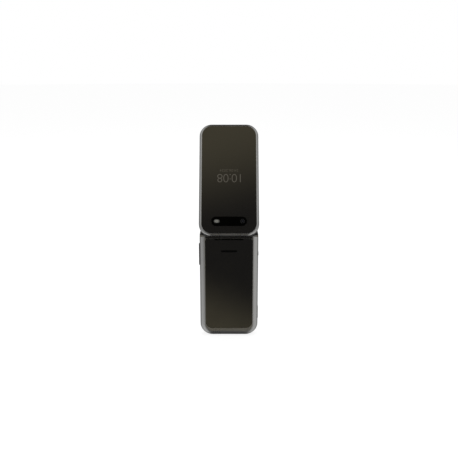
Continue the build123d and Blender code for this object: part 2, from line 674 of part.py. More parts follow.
with BuildPart() as base_chassis:
    cavity_plate(BAY_FLOOR, CHASSIS_FAR, SEAM)
    flange_gap = FLANGE_ENDS[1] - FLANGE_ENDS[0] - CHASSIS_FLANGE_HEIGHT
    gap_at = (0, (FLANGE_ENDS[0] + FLANGE_ENDS[1]) / 2)
    slab(BACK, BAY_FLOOR, CHASSIS_FAR, BASE_WIDTH, flange_gap, at=gap_at, mode=CUT)
    plug_width = OPENING_WIDTH - 2 * SEAM
    plug_height = OPENING_HEIGHT - 2 * SEAM
    slab(BACK, DECK, CHASSIS_FAR, plug_width, plug_height, COVER_TOP_R, OPENING_AT)
    bay_width = BATTERY_WIDTH + 2 * BATTERY_CLEAR
    bay_height = BATTERY_HEIGHT + 2 * BATTERY_CLEAR
    slab(BACK, DECK, BAY_FLOOR, bay_width, bay_height, BATTERY_R, BATTERY_AT, CUT)
    for spot in CONTACT_SPOTS:
        width = CONTACT_WIDTH + 2 * FIT
        height = CONTACT_HEIGHT + 2 * BATTERY_CLEAR
        slab(BACK, DECK, CONTACT_FAR + FIT, width, height, at=spot, mode=CUT)
    pocket = 2 * PART_CLEAR
    width = SPEAKER_WIDTH + pocket
    height = SPEAKER_BODY_HEIGHT + pocket
    slab(BACK, DECK, SPEAKER_FAR + FIT, width, height, COVER_TOP_R, SPEAKER_AT, CUT)
    width = CARD_HOLDER_WIDTH + pocket
    height = CARD_HOLDER_HEIGHT + pocket
    slab(BACK, DECK, CARD_FAR + FIT, width, height, at=CARD_AT, mode=CUT)
    width = MOTOR_LENGTH + pocket
    height = 2 * MOTOR_R + pocket
    slab(BACK, DECK, MOTOR_FAR + FIT, width, height, at=MOTOR_AT, mode=CUT)
    for spot in COVER_HOOKS:
        width = COVER_HOOK_WIDTH + pocket
        height = COVER_HOOK_LENGTH + pocket
        hook_far = COVER_THICK + COVER_HOOK_DEPTH + SEAM
        slab(BACK, DECK, hook_far, width, height, at=spot, mode=CUT)
    for spot in BASE_SCREWS:
        disc(BACK, DECK, RIM_DEPTH + SEAM, EAR_R + SEAM, spot, CUT)
        disc(BACK, DECK, COVER_FAR + BASE_SCREW_LENGTH, SCREW_R, spot, CUT)
    jack_room()
    volume_room()
finish(base_chassis, "base_chassis")

with BuildPart() as battery:
    slab(
        BACK, BATTERY_NEAR, BATTERY_FAR, BATTERY_WIDTH, BATTERY_HEIGHT, BATTERY_R, BATTERY_AT
    )
    fillet(battery.faces().sort_by(Axis.Y)[0].edges(), CHASSIS_FLOOR)
finish(battery, "battery")

with BuildPart() as battery_contacts:
    for spot in CONTACT_SPOTS:
        slab(BACK, BATTERY_NEAR, CONTACT_FAR, CONTACT_WIDTH, CONTACT_HEIGHT, at=spot)
finish(battery_contacts, "battery_contacts")

with BuildPart() as loudspeaker:
    slab(
        BACK,
        BATTERY_NEAR,
        SPEAKER_FAR,
        SPEAKER_WIDTH,
        SPEAKER_BODY_HEIGHT,
        COVER_TOP_R,
        SPEAKER_AT,
    )
finish(loudspeaker, "loudspeaker")

with BuildPart() as memory_card_holder:
    slab(BACK, BATTERY_NEAR, CARD_FAR, CARD_HOLDER_WIDTH, CARD_HOLDER_HEIGHT, at=CARD_AT)
    recess_at = (CARD_HOLDER_X, AUX_HEIGHT + CARD_HOLDER_HEIGHT / 4)
    slab(
        BACK,
        BATTERY_NEAR,
        BATTERY_NEAR + CARD_HOLDER_THICK / 4,
        CARD_HOLDER_WIDTH / 2,
        CARD_HOLDER_HEIGHT / 2,
        at=recess_at,
        mode=CUT,
    )
finish(memory_card_holder, "memory_card_holder")

with BuildPart() as vibration_motor:
    motor_y = BATTERY_NEAR + MOTOR_R - BASE_THICK / 2
    rod(MOTOR_R, MOTOR_X - MOTOR_LENGTH / 2, MOTOR_X + MOTOR_LENGTH / 2, motor_y, AUX_HEIGHT)
finish(vibration_motor, "vibration_motor")

with BuildPart() as antenna:
    antenna_far = BAY_FLOOR - FIT
    slab(BACK, antenna_far - ANTENNA_THICK, antenna_far, ANTENNA_WIDTH, ANTENNA_HEIGHT, at=ANTENNA_AT)
finish(antenna, "antenna")

with BuildPart() as main_circuit_board:
    cavity_plate(CHASSIS_FAR, BOARD_FAR, SEAM)
    jack_room()
    volume_room()
finish(main_circuit_board, "main_circuit_board")

with BuildPart() as keypad_membrane:
    cavity_plate(BOARD_FAR, MEMBRANE_FAR, SEAM)
    disc(BACK, BOARD_FAR, MEMBRANE_FAR, MICROPHONE_R + SEAM, (0, MICROPHONE_HEIGHT), CUT)
    volume_room()
finish(keypad_membrane, "keypad_membrane")

with BuildPart() as microphone:
    disc(BACK, BOARD_FAR, FRAME_FAR - FIT, MICROPHONE_R, (0, MICROPHONE_HEIGHT))
finish(microphone, "microphone")

with BuildPart() as shield_cans:
    can_x = (CAVITY_WIDTH + OPENING_WIDTH) / 4
    for side in (-1, 1):
        can_at = (side * can_x, CAN_MIDDLE)
        slab(BACK, CHASSIS_FAR - CAN_THICK, CHASSIS_FAR, CAN_WIDTH, CAN_HEIGHT, at=can_at)
finish(shield_cans, "shield_cans")

with BuildPart() as base_screws:
    for spot in BASE_SCREWS:
        disc(BACK, COVER_FAR, COVER_FAR + SCREW_HEAD, SCREW_HEAD_R, spot)
        disc(BACK, COVER_FAR + SCREW_HEAD, COVER_FAR + BASE_SCREW_LENGTH, SCREW_R, spot)
        disc(BACK, COVER_FAR, COVER_FAR + SCREW_HEAD / 2, SCREW_R / 2, spot, CUT)
finish(base_screws, "base_screws")

with BuildPart() as hinge_pivot_sockets:
    hinge_rods(SOCKET_R, KNUCKLE_START, KNUCKLE_START + SOCKET_LENGTH)
    hinge_rods(PIVOT_R + PIVOT_CLEAR, 0, KNUCKLE_START + PIVOT_LENGTH + 2 * SEAM, CUT)
finish(hinge_pivot_sockets, "hinge_pivot_sockets")

# ------------------------------------------------------------------ base: sides
with BuildPart() as headset_jack:
    side_block(
        1,
        JACK_INNER - JACK_END_WALL,
        CAVITY_WIDTH / 2 - SEAM,
        JACK_DEPTH,
        JACK_HEIGHT,
        JACK_BODY,
        JACK_BODY,
    )
    jack_y = JACK_DEPTH - BASE_THICK / 2
    rod(JACK_COLLAR_R, CAVITY_WIDTH / 2 - 2 * SEAM, JACK_OUTER, jack_y, JACK_HEIGHT)
    rod(JACK_R, JACK_INNER, JACK_OUTER, jack_y, JACK_HEIGHT, CUT)
finish(headset_jack, "headset_jack")

with BuildPart() as usb_port:
    usb_inner = USB_OUTER - USB_LENGTH
    side_block(
        1, usb_inner, USB_OUTER, USB_DEPTH, USB_HEIGHT, USB_THICK, USB_WIDTH, USB_SHELL
    )
    side_block(
        1,
        usb_inner + USB_SHELL,
        USB_OUTER,
        USB_DEPTH,
        USB_HEIGHT,
        USB_THICK - 2 * USB_SHELL,
        USB_WIDTH - 2 * USB_SHELL,
        mode=CUT,
    )
    side_block(
        1,
        usb_inner,
        USB_OUTER - USB_SHELL,
        USB_DEPTH,
        USB_HEIGHT,
        USB_TONGUE_THICK,
        USB_TONGUE_WIDTH,
    )
finish(usb_port, "usb_port")

with BuildPart() as port_cover:
    side_block(
        1,
        PORT_COVER_INNER,
        PORT_COVER_OUTER,
        USB_DEPTH,
        USB_HEIGHT,
        PORT_COVER_WIDTH,
        PORT_COVER_HEIGHT,
        USB_SHELL,
    )
    fillet(port_cover.faces().sort_by(Axis.X)[-1].edges(), PORT_COVER_PROUD)
finish(port_cover, "port_cover")

with BuildPart() as volume_key:
    side_block(
        -1,
        VOLUME_INNER,
        BASE_WIDTH / 2 + VOLUME_PROUD,
        VOLUME_DEPTH,
        VOLUME_MIDDLE,
        VOLUME_THICK,
        VOLUME_LENGTH,
        VOLUME_THICK / 2 - FIT,
    )
    fillet(volume_key.faces().sort_by(Axis.X)[0].edges(), VOLUME_PROUD / 2)
    side_block(
        -1,
        VOLUME_INNER,
        VOLUME_INNER + VOLUME_FLANGE,
        VOLUME_DEPTH,
        VOLUME_MIDDLE,
        VOLUME_THICK,
        VOLUME_LENGTH + 2 * VOLUME_LIP,
    )
finish(volume_key, "volume_key")


# ------------------------------------------------------------------ base: keys
def make_key(name, width, height, at):
    """A key cap with the lip that keeps it under the fascia."""
    with BuildPart() as key:
        slab(KEYPAD, -KEY_PROUD, KEY_FLANGE_FAR, width, height, KEY_R, at)
        fillet(key.faces().sort_by(Axis.Y)[-1].edges(), KEY_EDGE_R)
        flange_width = width + 2 * KEY_LIP
        flange_height = height + 2 * KEY_LIP
        slab(KEYPAD, KEY_FLANGE_NEAR, KEY_FLANGE_FAR, flange_width, flange_height, KEY_R, at)
    finish(key, name)


for name, at in NUMBER_KEYS.items():
    make_key(name, KEY_WIDTH, KEY_HEIGHT, at)
for name, at in FUNCTION_KEYS.items():
    make_key(name, FUNCTION_KEY_WIDTH, FUNCTION_KEY_HEIGHT, at)

with BuildPart() as navigation_ring:
    disc(KEYPAD, -KEY_PROUD, KEY_FLANGE_FAR, NAVIGATION_R, NAVIGATION_AT)
    disc(KEYPAD, -KEY_PROUD, KEY_FLANGE_FAR, SELECT_R + SELECT_CLEAR, NAVIGATION_AT, CUT)
    fillet(navigation_ring.faces().sort_by(Axis.Y)[-1].edges(), KEY_EDGE_R)
    with BuildSketch(KEYPAD.offset(-KEY_FLANGE_FAR)) as lip:
        with Locations(NAVIGATION_AT):
            Circle(NAVIGATION_R + KEY_CLEAR + KEY_LIP)
            Circle(NAVIGATION_R - KEY_LIP, mode=CUT)
    extrude(lip.sketch, amount=KEY_FLANGE_FAR - KEY_FLANGE_NEAR)
finish(navigation_ring, "navigation_ring")

with BuildPart() as select_key:
    disc(KEYPAD, -KEY_PROUD, KEY_FLANGE_FAR, SELECT_R, NAVIGATION_AT)
    fillet(select_key.faces().sort_by(Axis.Y)[-1].edges(), KEY_EDGE_R)
finish(select_key, "select_key")

# ------------------------------------------------------------------ lid: shells
with BuildPart() as lid_frame:
    add(lid_blank.part)
    slab(LID_OUTSIDE, 0, LID_FRAME_FAR, LID_WIDTH, LENGTH, at=(0, LID_MIDDLE), mode=KEEP)
    width = GLASS_WIDTH + 2 * GLASS_CLEAR
    height = GLASS_HEIGHT + 2 * GLASS_CLEAR
    slab(LID_OUTSIDE, 0, GLASS_THICK, width, height, GLASS_R + GLASS_CLEAR, GLASS_AT, CUT)
    slab(
        LID_OUTSIDE,
        WEB_FAR,
        LID_THICK,
        LID_CAVITY_WIDTH,
        LID_CAVITY_HEIGHT,
        CORNER_R - LID_WALL,
        LID_CAVITY_AT,
        CUT,
    )
    width = 2 * (BARREL_HALF - LID_SEAM)
    slab(
        LID_OUTSIDE, WEB_FAR, LID_THICK, width, BARREL_ROOM_HEIGHT, at=BARREL_ROOM_AT, mode=CUT
    )
    hinge_rod(KNUCKLE_R + HINGE_GAP, -KNUCKLE_START, KNUCKLE_START, CUT)
    width = OUTER_DISPLAY_WIDTH + 2 * PART_CLEAR
    height = OUTER_DISPLAY_HEIGHT + 2 * PART_CLEAR
    slab(LID_OUTSIDE, GLASS_THICK, WEB_FAR, width, height, at=OUTER_DISPLAY_AT, mode=CUT)
    disc(LID_OUTSIDE, GLASS_THICK, WEB_FAR, CAMERA_BARREL_R + PART_CLEAR, CAMERA_AT, CUT)
    led_hole = FLASH_LED + 2 * PART_CLEAR
    slab(LID_OUTSIDE, GLASS_THICK, WEB_FAR, led_hole, led_hole, at=FLASH_AT, mode=CUT)
    for spot in LID_SCREW_SPOTS:
        disc(LID_OUTSIDE, WEB_FAR, LID_FRAME_FAR, LID_POST_R, spot)
        pilot = BUMPER_SEAT + LID_SCREW_LENGTH + SEAM
        disc(LID_INSIDE, 0, pilot, SCREW_R, (-spot[0], spot[1]), CUT)
finish(lid_frame, "lid_frame")

with BuildPart() as lid_outer_glass:
    slab(LID_OUTSIDE, 0, GLASS_THICK, GLASS_WIDTH, GLASS_HEIGHT, GLASS_R, GLASS_AT)
    width = PILL_WIDTH + 2 * PILL_CLEAR
    height = PILL_HEIGHT + 2 * PILL_CLEAR
    stadium(LID_OUTSIDE, 0, GLASS_THICK, width, height, PILL_AT, CUT)
finish(lid_outer_glass, "lid_outer_glass")

with BuildPart() as lid_inner_case:
    add(lid_blank.part)
    slab(LID_INSIDE, 0, INNER_CASE_THICK, LID_WIDTH, LENGTH, at=(0, LID_MIDDLE), mode=KEEP)
    hinge_rod(KNUCKLE_R, -BARREL_HALF, BARREL_HALF)
    hinge_rod(BARREL_BORE_R, -KNUCKLE_START, KNUCKLE_START, CUT)
    width = LENS_WIDTH + 2 * LID_SEAM
    height = LENS_HEIGHT + 2 * LID_SEAM
    slab(LID_INSIDE, 0, LENS_THICK, width, height, LENS_R, LENS_AT, CUT)
    width = MAIN_DISPLAY_WIDTH + 2 * LID_SEAM
    height = MAIN_DISPLAY_HEIGHT + 2 * LID_SEAM
    slab(LID_INSIDE, 0, INNER_CASE_THICK, width, height, at=MAIN_DISPLAY_AT, mode=CUT)
    height = EARPIECE_SLOT_HEIGHT + 2 * MESH_BORDER
    stadium(LID_INSIDE, 0, INNER_CASE_THICK, EARPIECE_SLOT_WIDTH, height, EARPIECE_AT, CUT)
    for spot in LID_SCREW_SPOTS:
        disc(LID_INSIDE, 0, BUMPER_SEAT, BUMPER_R + FIT, spot, CUT)
        disc(LID_INSIDE, 0, BUMPER_SEAT + SCREW_HEAD, SCREW_HEAD_R + FIT, spot, CUT)
        disc(LID_INSIDE, 0, INNER_CASE_THICK, SCREW_R + FIT, spot, CUT)
    # slot through the barrel's wall for the cable
    slot_near = CABLE_FAR - CABLE_THICK - SEAM
    slot_at = (0, LID_CAVITY_BOTTOM / 2)
    width = CABLE_WIDTH + 2 * SEAM
    slab(
        LID_INSIDE, slot_near, CABLE_FAR + SEAM, width, LID_CAVITY_BOTTOM, at=slot_at, mode=CUT
    )
finish(lid_inner_case, "lid_inner_case")

# ------------------------------------------------------------------ lid: camera and flash
with BuildPart() as camera_island:
    stadium(LID_OUTSIDE, -PILL_RISE, GLASS_THICK, PILL_WIDTH, PILL_HEIGHT, PILL_AT)
    fillet(camera_island.faces().sort_by(outwards)[-1].edges(), PILL_RISE / 2)
    disc(LID_OUTSIDE, -PILL_RISE, GLASS_THICK, CAMERA_WINDOW_R + FIT, CAMERA_AT, CUT)
    width = FLASH_WIDTH + 2 * FIT
    height = FLASH_HEIGHT + 2 * FIT
    stadium(LID_OUTSIDE, -PILL_RISE, GLASS_THICK, width, height, FLASH_AT, CUT)
finish(camera_island, "camera_island")

WINDOW_NEAR = WINDOW_SINK - PILL_RISE
with BuildPart() as camera_window:
    window_far = WINDOW_NEAR + CAMERA_WINDOW_THICK
    disc(LID_OUTSIDE, WINDOW_NEAR, window_far, CAMERA_WINDOW_R, CAMERA_AT)
finish(camera_window, "camera_window")

with BuildPart() as flash_window:
    stadium(LID_OUTSIDE, WINDOW_NEAR, GLASS_THICK - FIT, FLASH_WIDTH, FLASH_HEIGHT, FLASH_AT)
finish(flash_window, "flash_window")

with BuildPart() as camera_module:
    disc(LID_OUTSIDE, window_far + FIT, WEB_FAR + FIT, CAMERA_WINDOW_R - PART_CLEAR, CAMERA_AT)
    disc(LID_OUTSIDE, GLASS_THICK + FIT, WEB_FAR + FIT, CAMERA_BARREL_R, CAMERA_AT)
    body_far = WEB_FAR + FIT + CAMERA_BODY_THICK
    slab(LID_OUTSIDE, WEB_FAR + FIT, body_far, CAMERA_BODY, CAMERA_BODY, at=CAMERA_AT)
finish(camera_module, "camera_module")

with BuildPart() as flash_led:
    slab(LID_OUTSIDE, GLASS_THICK, WEB_FAR + FIT, FLASH_LED, FLASH_LED, at=FLASH_AT)
    board_far = WEB_FAR + FIT + LID_BOARD_THICK
    slab(LID_OUTSIDE, WEB_FAR + FIT, board_far, FLASH_BOARD, FLASH_BOARD, at=FLASH_AT)
finish(flash_led, "flash_led")

# ------------------------------------------------------------------ lid: displays and sound
with BuildPart() as outer_display:
    slab(
        LID_OUTSIDE,
        GLASS_THICK + FIT,
        GLASS_THICK + FIT + OUTER_DISPLAY_THICK,
        OUTER_DISPLAY_WIDTH,
        OUTER_DISPLAY_HEIGHT,
        at=OUTER_DISPLAY_AT,
    )
finish(outer_display, "outer_display")

with BuildPart() as main_display_lens:
    slab(LID_INSIDE, 0, LENS_THICK, LENS_WIDTH, LENS_HEIGHT, LENS_R, LENS_AT)
    stadium(
        LID_INSIDE, 0, LENS_THICK, EARPIECE_SLOT_WIDTH, EARPIECE_SLOT_HEIGHT, EARPIECE_AT, CUT
    )
finish(main_display_lens, "main_display_lens")

with BuildPart() as main_display:
    display_far = MAIN_DISPLAY_NEAR + MAIN_DISPLAY_THICK
    slab(
        LID_INSIDE,
        MAIN_DISPLAY_NEAR,
        display_far,
        MAIN_DISPLAY_WIDTH,
        MAIN_DISPLAY_HEIGHT,
        at=MAIN_DISPLAY_AT,
    )
finish(main_display, "main_display")

with BuildPart() as earpiece_mesh:
    width = EARPIECE_SLOT_WIDTH - 2 * FIT
    height = EARPIECE_SLOT_HEIGHT + 2 * MESH_BORDER - 2 * FIT
    mesh_far = MAIN_DISPLAY_NEAR + MESH_THICK
    stadium(LID_INSIDE, MAIN_DISPLAY_NEAR, mesh_far, width, height, EARPIECE_AT)
finish(earpiece_mesh, "earpiece_mesh")

with BuildPart() as earpiece:
    earpiece_far = EARPIECE_NEAR + EARPIECE_THICK
    slab(
        LID_INSIDE,
        EARPIECE_NEAR,
        earpiece_far,
        EARPIECE_WIDTH,
        EARPIECE_HEIGHT,
        BATTERY_R,
        EARPIECE_AT,
    )
finish(earpiece, "earpiece")

# ------------------------------------------------------------------ lid: inner pieces
with BuildPart() as lid_circuit_board:
    width = LID_CAVITY_WIDTH - 2 * PART_CLEAR
    height = LID_BOARD_TOP - LID_BOARD_BOTTOM
    board_at = (0, (LID_BOARD_TOP + LID_BOARD_BOTTOM) / 2)
    slab(LID_INSIDE, LID_BOARD_NEAR, LID_BOARD_FAR, width, height, LENS_R, board_at)
finish(lid_circuit_board, "lid_circuit_board")

with BuildPart() as lid_magnet:
    magnet_far = EARPIECE_NEAR + MAGNET_THICK
    slab(
        LID_INSIDE, EARPIECE_NEAR, magnet_far, MAGNET_WIDTH, MAGNET_WIDTH, at=(MAGNET_X, MAGNET_U)
    )
finish(lid_magnet, "lid_magnet")

with BuildPart() as lid_screws:
    head_far = BUMPER_SEAT + SCREW_HEAD
    for spot in LID_SCREW_SPOTS:
        disc(LID_INSIDE, BUMPER_SEAT + FIT, head_far, SCREW_HEAD_R, spot)
        disc(LID_INSIDE, head_far, BUMPER_SEAT + LID_SCREW_LENGTH, SCREW_R, spot)
finish(lid_screws, "lid_screws")

with BuildPart() as lid_bumpers:
    for spot in LID_SCREW_SPOTS:
        disc(LID_INSIDE, BUMPER_GAP - FOLDED_GAP, BUMPER_SEAT, BUMPER_R, spot)
    fillet(lid_bumpers.faces().sort_by(outwards)[:len(LID_SCREW_SPOTS)].edges(), BUMPER_EDGE_R)
finish(lid_bumpers, "lid_bumpers")

# ------------------------------------------------------------------ hinge
with BuildPart() as hinge_cartridge:
    hinge_rod(BARREL_BORE_R - FIT, BARREL_HALF - HINGE_UNIT_LENGTH, BARREL_HALF)
    hinge_rod(PIVOT_R, BARREL_HALF, KNUCKLE_START + PIVOT_LENGTH)
finish(hinge_cartridge, "hinge_cartridge")

with BuildPart() as hinge_bush:
    hinge_rod(BARREL_BORE_R - FIT, -BARREL_HALF, HINGE_UNIT_LENGTH / 2 - BARREL_HALF)
    hinge_rod(PIVOT_R, -KNUCKLE_START - PIVOT_LENGTH, -BARREL_HALF)
finish(hinge_bush, "hinge_bush")

with BuildPart() as hinge_flex_cable:
    half = CABLE_WIDTH / 2
    hinge_rod(CABLE_COIL_R, -half, half)
    hinge_rod(CABLE_COIL_R - CABLE_THICK, -half, half, CUT)
    tail_at = (0, CABLE_END_U / 2)
    slab(LID_INSIDE, CABLE_FAR - CABLE_THICK, CABLE_FAR, CABLE_WIDTH, CABLE_END_U, at=tail_at)
    plug_at = (0, CABLE_END_U - CABLE_PLUG / 2)
    slab(LID_INSIDE, CABLE_FAR - CABLE_THICK, LID_BOARD_NEAR, CABLE_WIDTH, CABLE_PLUG, at=plug_at)
finish(hinge_flex_cable, "hinge_flex_cable")
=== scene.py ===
import json
import math

import bmesh
import bpy
from mathutils import Matrix, Vector


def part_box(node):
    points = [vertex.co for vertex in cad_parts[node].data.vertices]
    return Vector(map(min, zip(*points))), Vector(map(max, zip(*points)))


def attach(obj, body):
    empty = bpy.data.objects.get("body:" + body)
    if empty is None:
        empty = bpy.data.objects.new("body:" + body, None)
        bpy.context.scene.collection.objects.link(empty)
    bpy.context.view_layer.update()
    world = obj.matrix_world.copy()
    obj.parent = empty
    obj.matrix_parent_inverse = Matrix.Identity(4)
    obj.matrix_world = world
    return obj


# A folding phone, open and upright on a plain white floor, with the camera behind it. Blender
# works in metres, and a length below is in millimetres unless it is multiplied by MM.

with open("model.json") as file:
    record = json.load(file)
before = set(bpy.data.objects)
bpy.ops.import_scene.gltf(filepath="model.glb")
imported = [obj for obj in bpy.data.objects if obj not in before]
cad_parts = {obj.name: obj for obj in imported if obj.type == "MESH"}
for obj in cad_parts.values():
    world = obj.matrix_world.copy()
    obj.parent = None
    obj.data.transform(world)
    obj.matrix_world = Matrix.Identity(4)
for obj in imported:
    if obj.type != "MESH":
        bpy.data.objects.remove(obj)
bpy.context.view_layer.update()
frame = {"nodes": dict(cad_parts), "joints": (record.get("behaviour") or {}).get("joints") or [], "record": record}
nodes = frame["nodes"]
MM = 0.001

# ------------------------------------------------------------------ faces of the phone
RIGHT = Vector((1, 0, 0))
UP = Vector((0, 0, 1))
hinge_joint = next(j for j in frame["joints"] if j["name"] == "lid_hinge")
HINGE = Vector(hinge_joint["pos_m"])
LEAN = math.radians(180 - hinge_joint["range_deg"][1])
ALONG_LID = Vector((0, math.sin(LEAN), math.cos(LEAN)))
OUT_OF_LID = Vector((0, -math.cos(LEAN), math.sin(LEAN)))
LID_OUTER_RISE = 9.1 * MM      # outer glass over the hinge axis
LID_INNER_RISE = 1.0 * MM      # display lens over the hinge axis
KEY_FACE_Y = 5.3 * MM          # tops of the keys
BATTERY_FACE_Y = -4.0 * MM
COVER_FACE_Y = -5.2 * MM       # outer face of the battery cover
NOTCH_SEAT_Y = -4.15 * MM      # the ledge that the notch of the cover lays open
FLASH_AT = (-11.2, 6.5)        # on the lid, from its middle and its hinge axis
CAMERA_AT = (12.4, 6.5)


def face_matrix(origin, across, up):
    """Places a flat piece drawn in X and Y on a face, with Z out of it."""
    out = across.cross(up)
    matrix = Matrix((across, up, out)).transposed().to_4x4()
    matrix.translation = origin
    return matrix


LID_OUTSIDE = face_matrix(HINGE + OUT_OF_LID * LID_OUTER_RISE, RIGHT, ALONG_LID)
LID_INSIDE = face_matrix(HINGE + OUT_OF_LID * LID_INNER_RISE, -RIGHT, ALONG_LID)
KEYPAD = face_matrix(Vector((0, KEY_FACE_Y, 0)), -RIGHT, UP)
BATTERY_FACE = face_matrix(Vector((0, BATTERY_FACE_Y, 0)), RIGHT, UP)
COVER_FACE = face_matrix(Vector((0, COVER_FACE_Y, 0)), RIGHT, UP)
NOTCH_SEAT = face_matrix(Vector((0, NOTCH_SEAT_Y, 0)), RIGHT, UP)


# ------------------------------------------------------------------ materials
class Nodes:
    """A node tree, with short calls that add nodes to it. Each value is a plain one, a node that
    stands for its first output, or any other output of a node."""

    def __init__(self, tree):
        self.tree = tree
        tree.nodes.clear()

    def put(self, value, socket):
        """Links a value to an input, or sets it there if it is plain. A colour is red, green and
        blue."""
        if isinstance(value, bpy.types.Node):
            value = value.outputs[0]
        if isinstance(value, bpy.types.NodeSocket):
            self.tree.links.new(value, socket)
        else:
            socket.default_value = (*value, 1) if socket.type == "RGBA" else value

    def add(self, kind, inputs=None, **settings):
        node = self.tree.nodes.new(kind)
        for key, value in settings.items():
            setattr(node, key, value)
        for key, value in (inputs or {}).items():
            self.put(value, node.inputs[key])
        return node

    def place(self):
        """The point on the object that is looked at."""
        return self.add("ShaderNodeTexCoord").outputs["Object"]

    def noise(self, scale, detail=2.0, roughness=0.5, stretch=(1, 1, 1)):
        """Noise fixed to the object."""
        mapping = self.add("ShaderNodeMapping", {"Vector": self.place(), "Scale": stretch})
        return self.add("ShaderNodeTexNoise", {
            "Vector": mapping, "Scale": scale, "Detail": detail, "Roughness": roughness})

    def spread(self, value, low, high, from_low=0.3, from_high=0.7, smooth=False):
        """A value brought from one range to another."""
        return self.add(
            "ShaderNodeMapRange",
            {"Value": value, "From Min": from_low, "From Max": from_high, "To Min": low,
             "To Max": high},
            interpolation_type="SMOOTHSTEP" if smooth else "LINEAR")

    def math(self, operation, first, second=0.0):
        """A sum, a product or the like."""
        return self.add("ShaderNodeMath", {0: first, 1: second}, operation=operation)

    def blend(self, share, low, high):
        """A colour that passes from one to another with a share."""
        return self.add("ShaderNodeMix", {0: share, 6: low, 7: high}, data_type="RGBA").outputs[2]

    def relief(self, shader, height, strength, depth):
        """Raises a shader's surface where a height is large."""
        bump = self.add("ShaderNodeBump", {
            "Height": height, "Strength": strength, "Distance": depth})
        self.put(bump, shader.inputs["Normal"])


def new_material(name, inputs):
    """A material of one shader, with the plain values of the shader's inputs."""
    material = bpy.data.materials.new(name)
    material.use_nodes = True
    n = Nodes(material.node_tree)
    shader = n.add("ShaderNodeBsdfPrincipled", inputs)
    n.add("ShaderNodeOutputMaterial", {"Surface": shader})
    return material, n, shader


def scaled(colour, factor):
    return [min(1, c * factor) for c in colour]


GRAIN_SCALE = 2500             # cells of fleck and of relief in a metre
GRAIN_DEPTH = 0.02 * MM
SMUDGE_SCALE = 70


def surface(name, colour, roughness, metallic=0.0, specular=0.5, coat=0.0, coat_roughness=0.03,
            speck=0.12, smudge=0.05, bump=0.0):
    """A moulded, painted or metal surface: fleck in its colour, handling marks in its gloss, and
    a fine grain in its relief."""
    material, n, shader = new_material(name, {
        "Base Color": colour, "Metallic": metallic, "Specular IOR Level": specular,
        "Coat Weight": coat, "Coat Roughness": coat_roughness})
    fleck = n.spread(n.noise(GRAIN_SCALE, detail=1.0), 0, 1)
    flecked = n.blend(fleck, scaled(colour, 1 - speck), scaled(colour, 1 + speck))
    n.put(flecked, shader.inputs["Base Color"])
    film = n.noise(SMUDGE_SCALE, detail=4.0, roughness=0.6)
    n.put(n.spread(film, roughness, roughness + smudge), shader.inputs["Roughness"])
    if bump:
        n.relief(shader, n.noise(GRAIN_SCALE), bump, GRAIN_DEPTH)
    return material


WIRE_PITCH = 0.35 * MM
WIRE_DEPTH = 0.08 * MM
WAVES_PER_UNIT = 20            # of a wave texture at scale 1


def mesh_weave(name, colour):
    """Fine woven wire: round wires crossing, with open squares between them."""
    material, n, shader = new_material(name, {"Roughness": 0.5, "Specular IOR Level": 0.05})
    place = n.place()
    waves = [n.add("ShaderNodeTexWave",
                   {"Vector": place, "Scale": 1.0 / WIRE_PITCH / WAVES_PER_UNIT},
                   bands_direction=axis)
             for axis in ("X", "Z")]
    wires = n.math("MAXIMUM", *waves)
    tone = n.spread(wires, 0.15, 1.0, 0.5, 0.8)
    n.put(n.blend(tone, (0.001, 0.001, 0.001), colour), shader.inputs["Base Color"])
    n.relief(shader, wires, 0.8, WIRE_DEPTH)
    return material


TRACK_SCALE = 450.0            # cells of the pattern in a metre
TRACK_DEPTH = 0.03 * MM
TRACK_SHINE = 1.9


def circuit(name, colour):
    """Solder resist with tracks under it and a fine sheen."""
    material, n, shader = new_material(name, {"Roughness": 0.35})
    cells = n.add("ShaderNodeTexVoronoi", {"Vector": n.place(), "Scale": TRACK_SCALE},
                  distance="CHEBYCHEV")
    tracks = n.spread(cells, 0, 1, 0.4, 0.5)
    n.put(n.blend(tracks, colour, scaled(colour, TRACK_SHINE)), shader.inputs["Base Color"])
    n.relief(shader, tracks, 0.3, TRACK_DEPTH)
    return material


DOT_SCALE = 3000               # cells of the lit dots in a metre
DOT_SPREAD = 0.08              # how far a dot's light is from the mean


def glow(name, colour):
    """A lit element behind a clear face: it shines a little and keeps the face's gloss."""
    material, n, shader = new_material(name, {
        "Base Color": (0.004, 0.004, 0.004), "Roughness": 0.1, "Emission Strength": 1.0})
    dots = n.spread(n.noise(DOT_SCALE, detail=1.0), 0, 1)
    dotted = n.blend(dots, scaled(colour, 1 - DOT_SPREAD), scaled(colour, 1 + DOT_SPREAD))
    n.put(dotted, shader.inputs["Emission Color"])
    return material


PHOSPHOR_INNER = 1.0 * MM      # the pale patch is full to here and gone at the outer radius
PHOSPHOR_OUTER = 2.6 * MM
RING_PITCH = 0.32 * MM
RING_DEPTH = 0.03 * MM


def flash_lens(name):
    """A clear lamp window: a pale patch of phosphor in the middle behind ringed moulding."""
    material, n, shader = new_material(name, {"Roughness": 0.3})
    middle = LID_OUTSIDE @ Vector((FLASH_AT[0] * MM, FLASH_AT[1] * MM, 0))
    offset = n.add("ShaderNodeVectorMath", {0: n.place(), 1: middle}, operation="SUBTRACT")
    flatter = n.add("ShaderNodeVectorMath", {0: offset, 1: (1.0, 1.5, 1.5)}, operation="MULTIPLY")
    length = n.add("ShaderNodeVectorMath", {0: flatter}, operation="LENGTH")
    distance = length.outputs["Value"]
    fade = n.spread(distance, 1.0, 0.0, PHOSPHOR_INNER, PHOSPHOR_OUTER, smooth=True)
    patch = n.blend(fade, (0.035, 0.035, 0.033), (0.20, 0.20, 0.175))
    n.put(patch, shader.inputs["Base Color"])
    rings = n.math("SINE", n.math("MULTIPLY", distance, math.tau / RING_PITCH))
    n.relief(shader, rings, 0.6, RING_DEPTH)
    return material


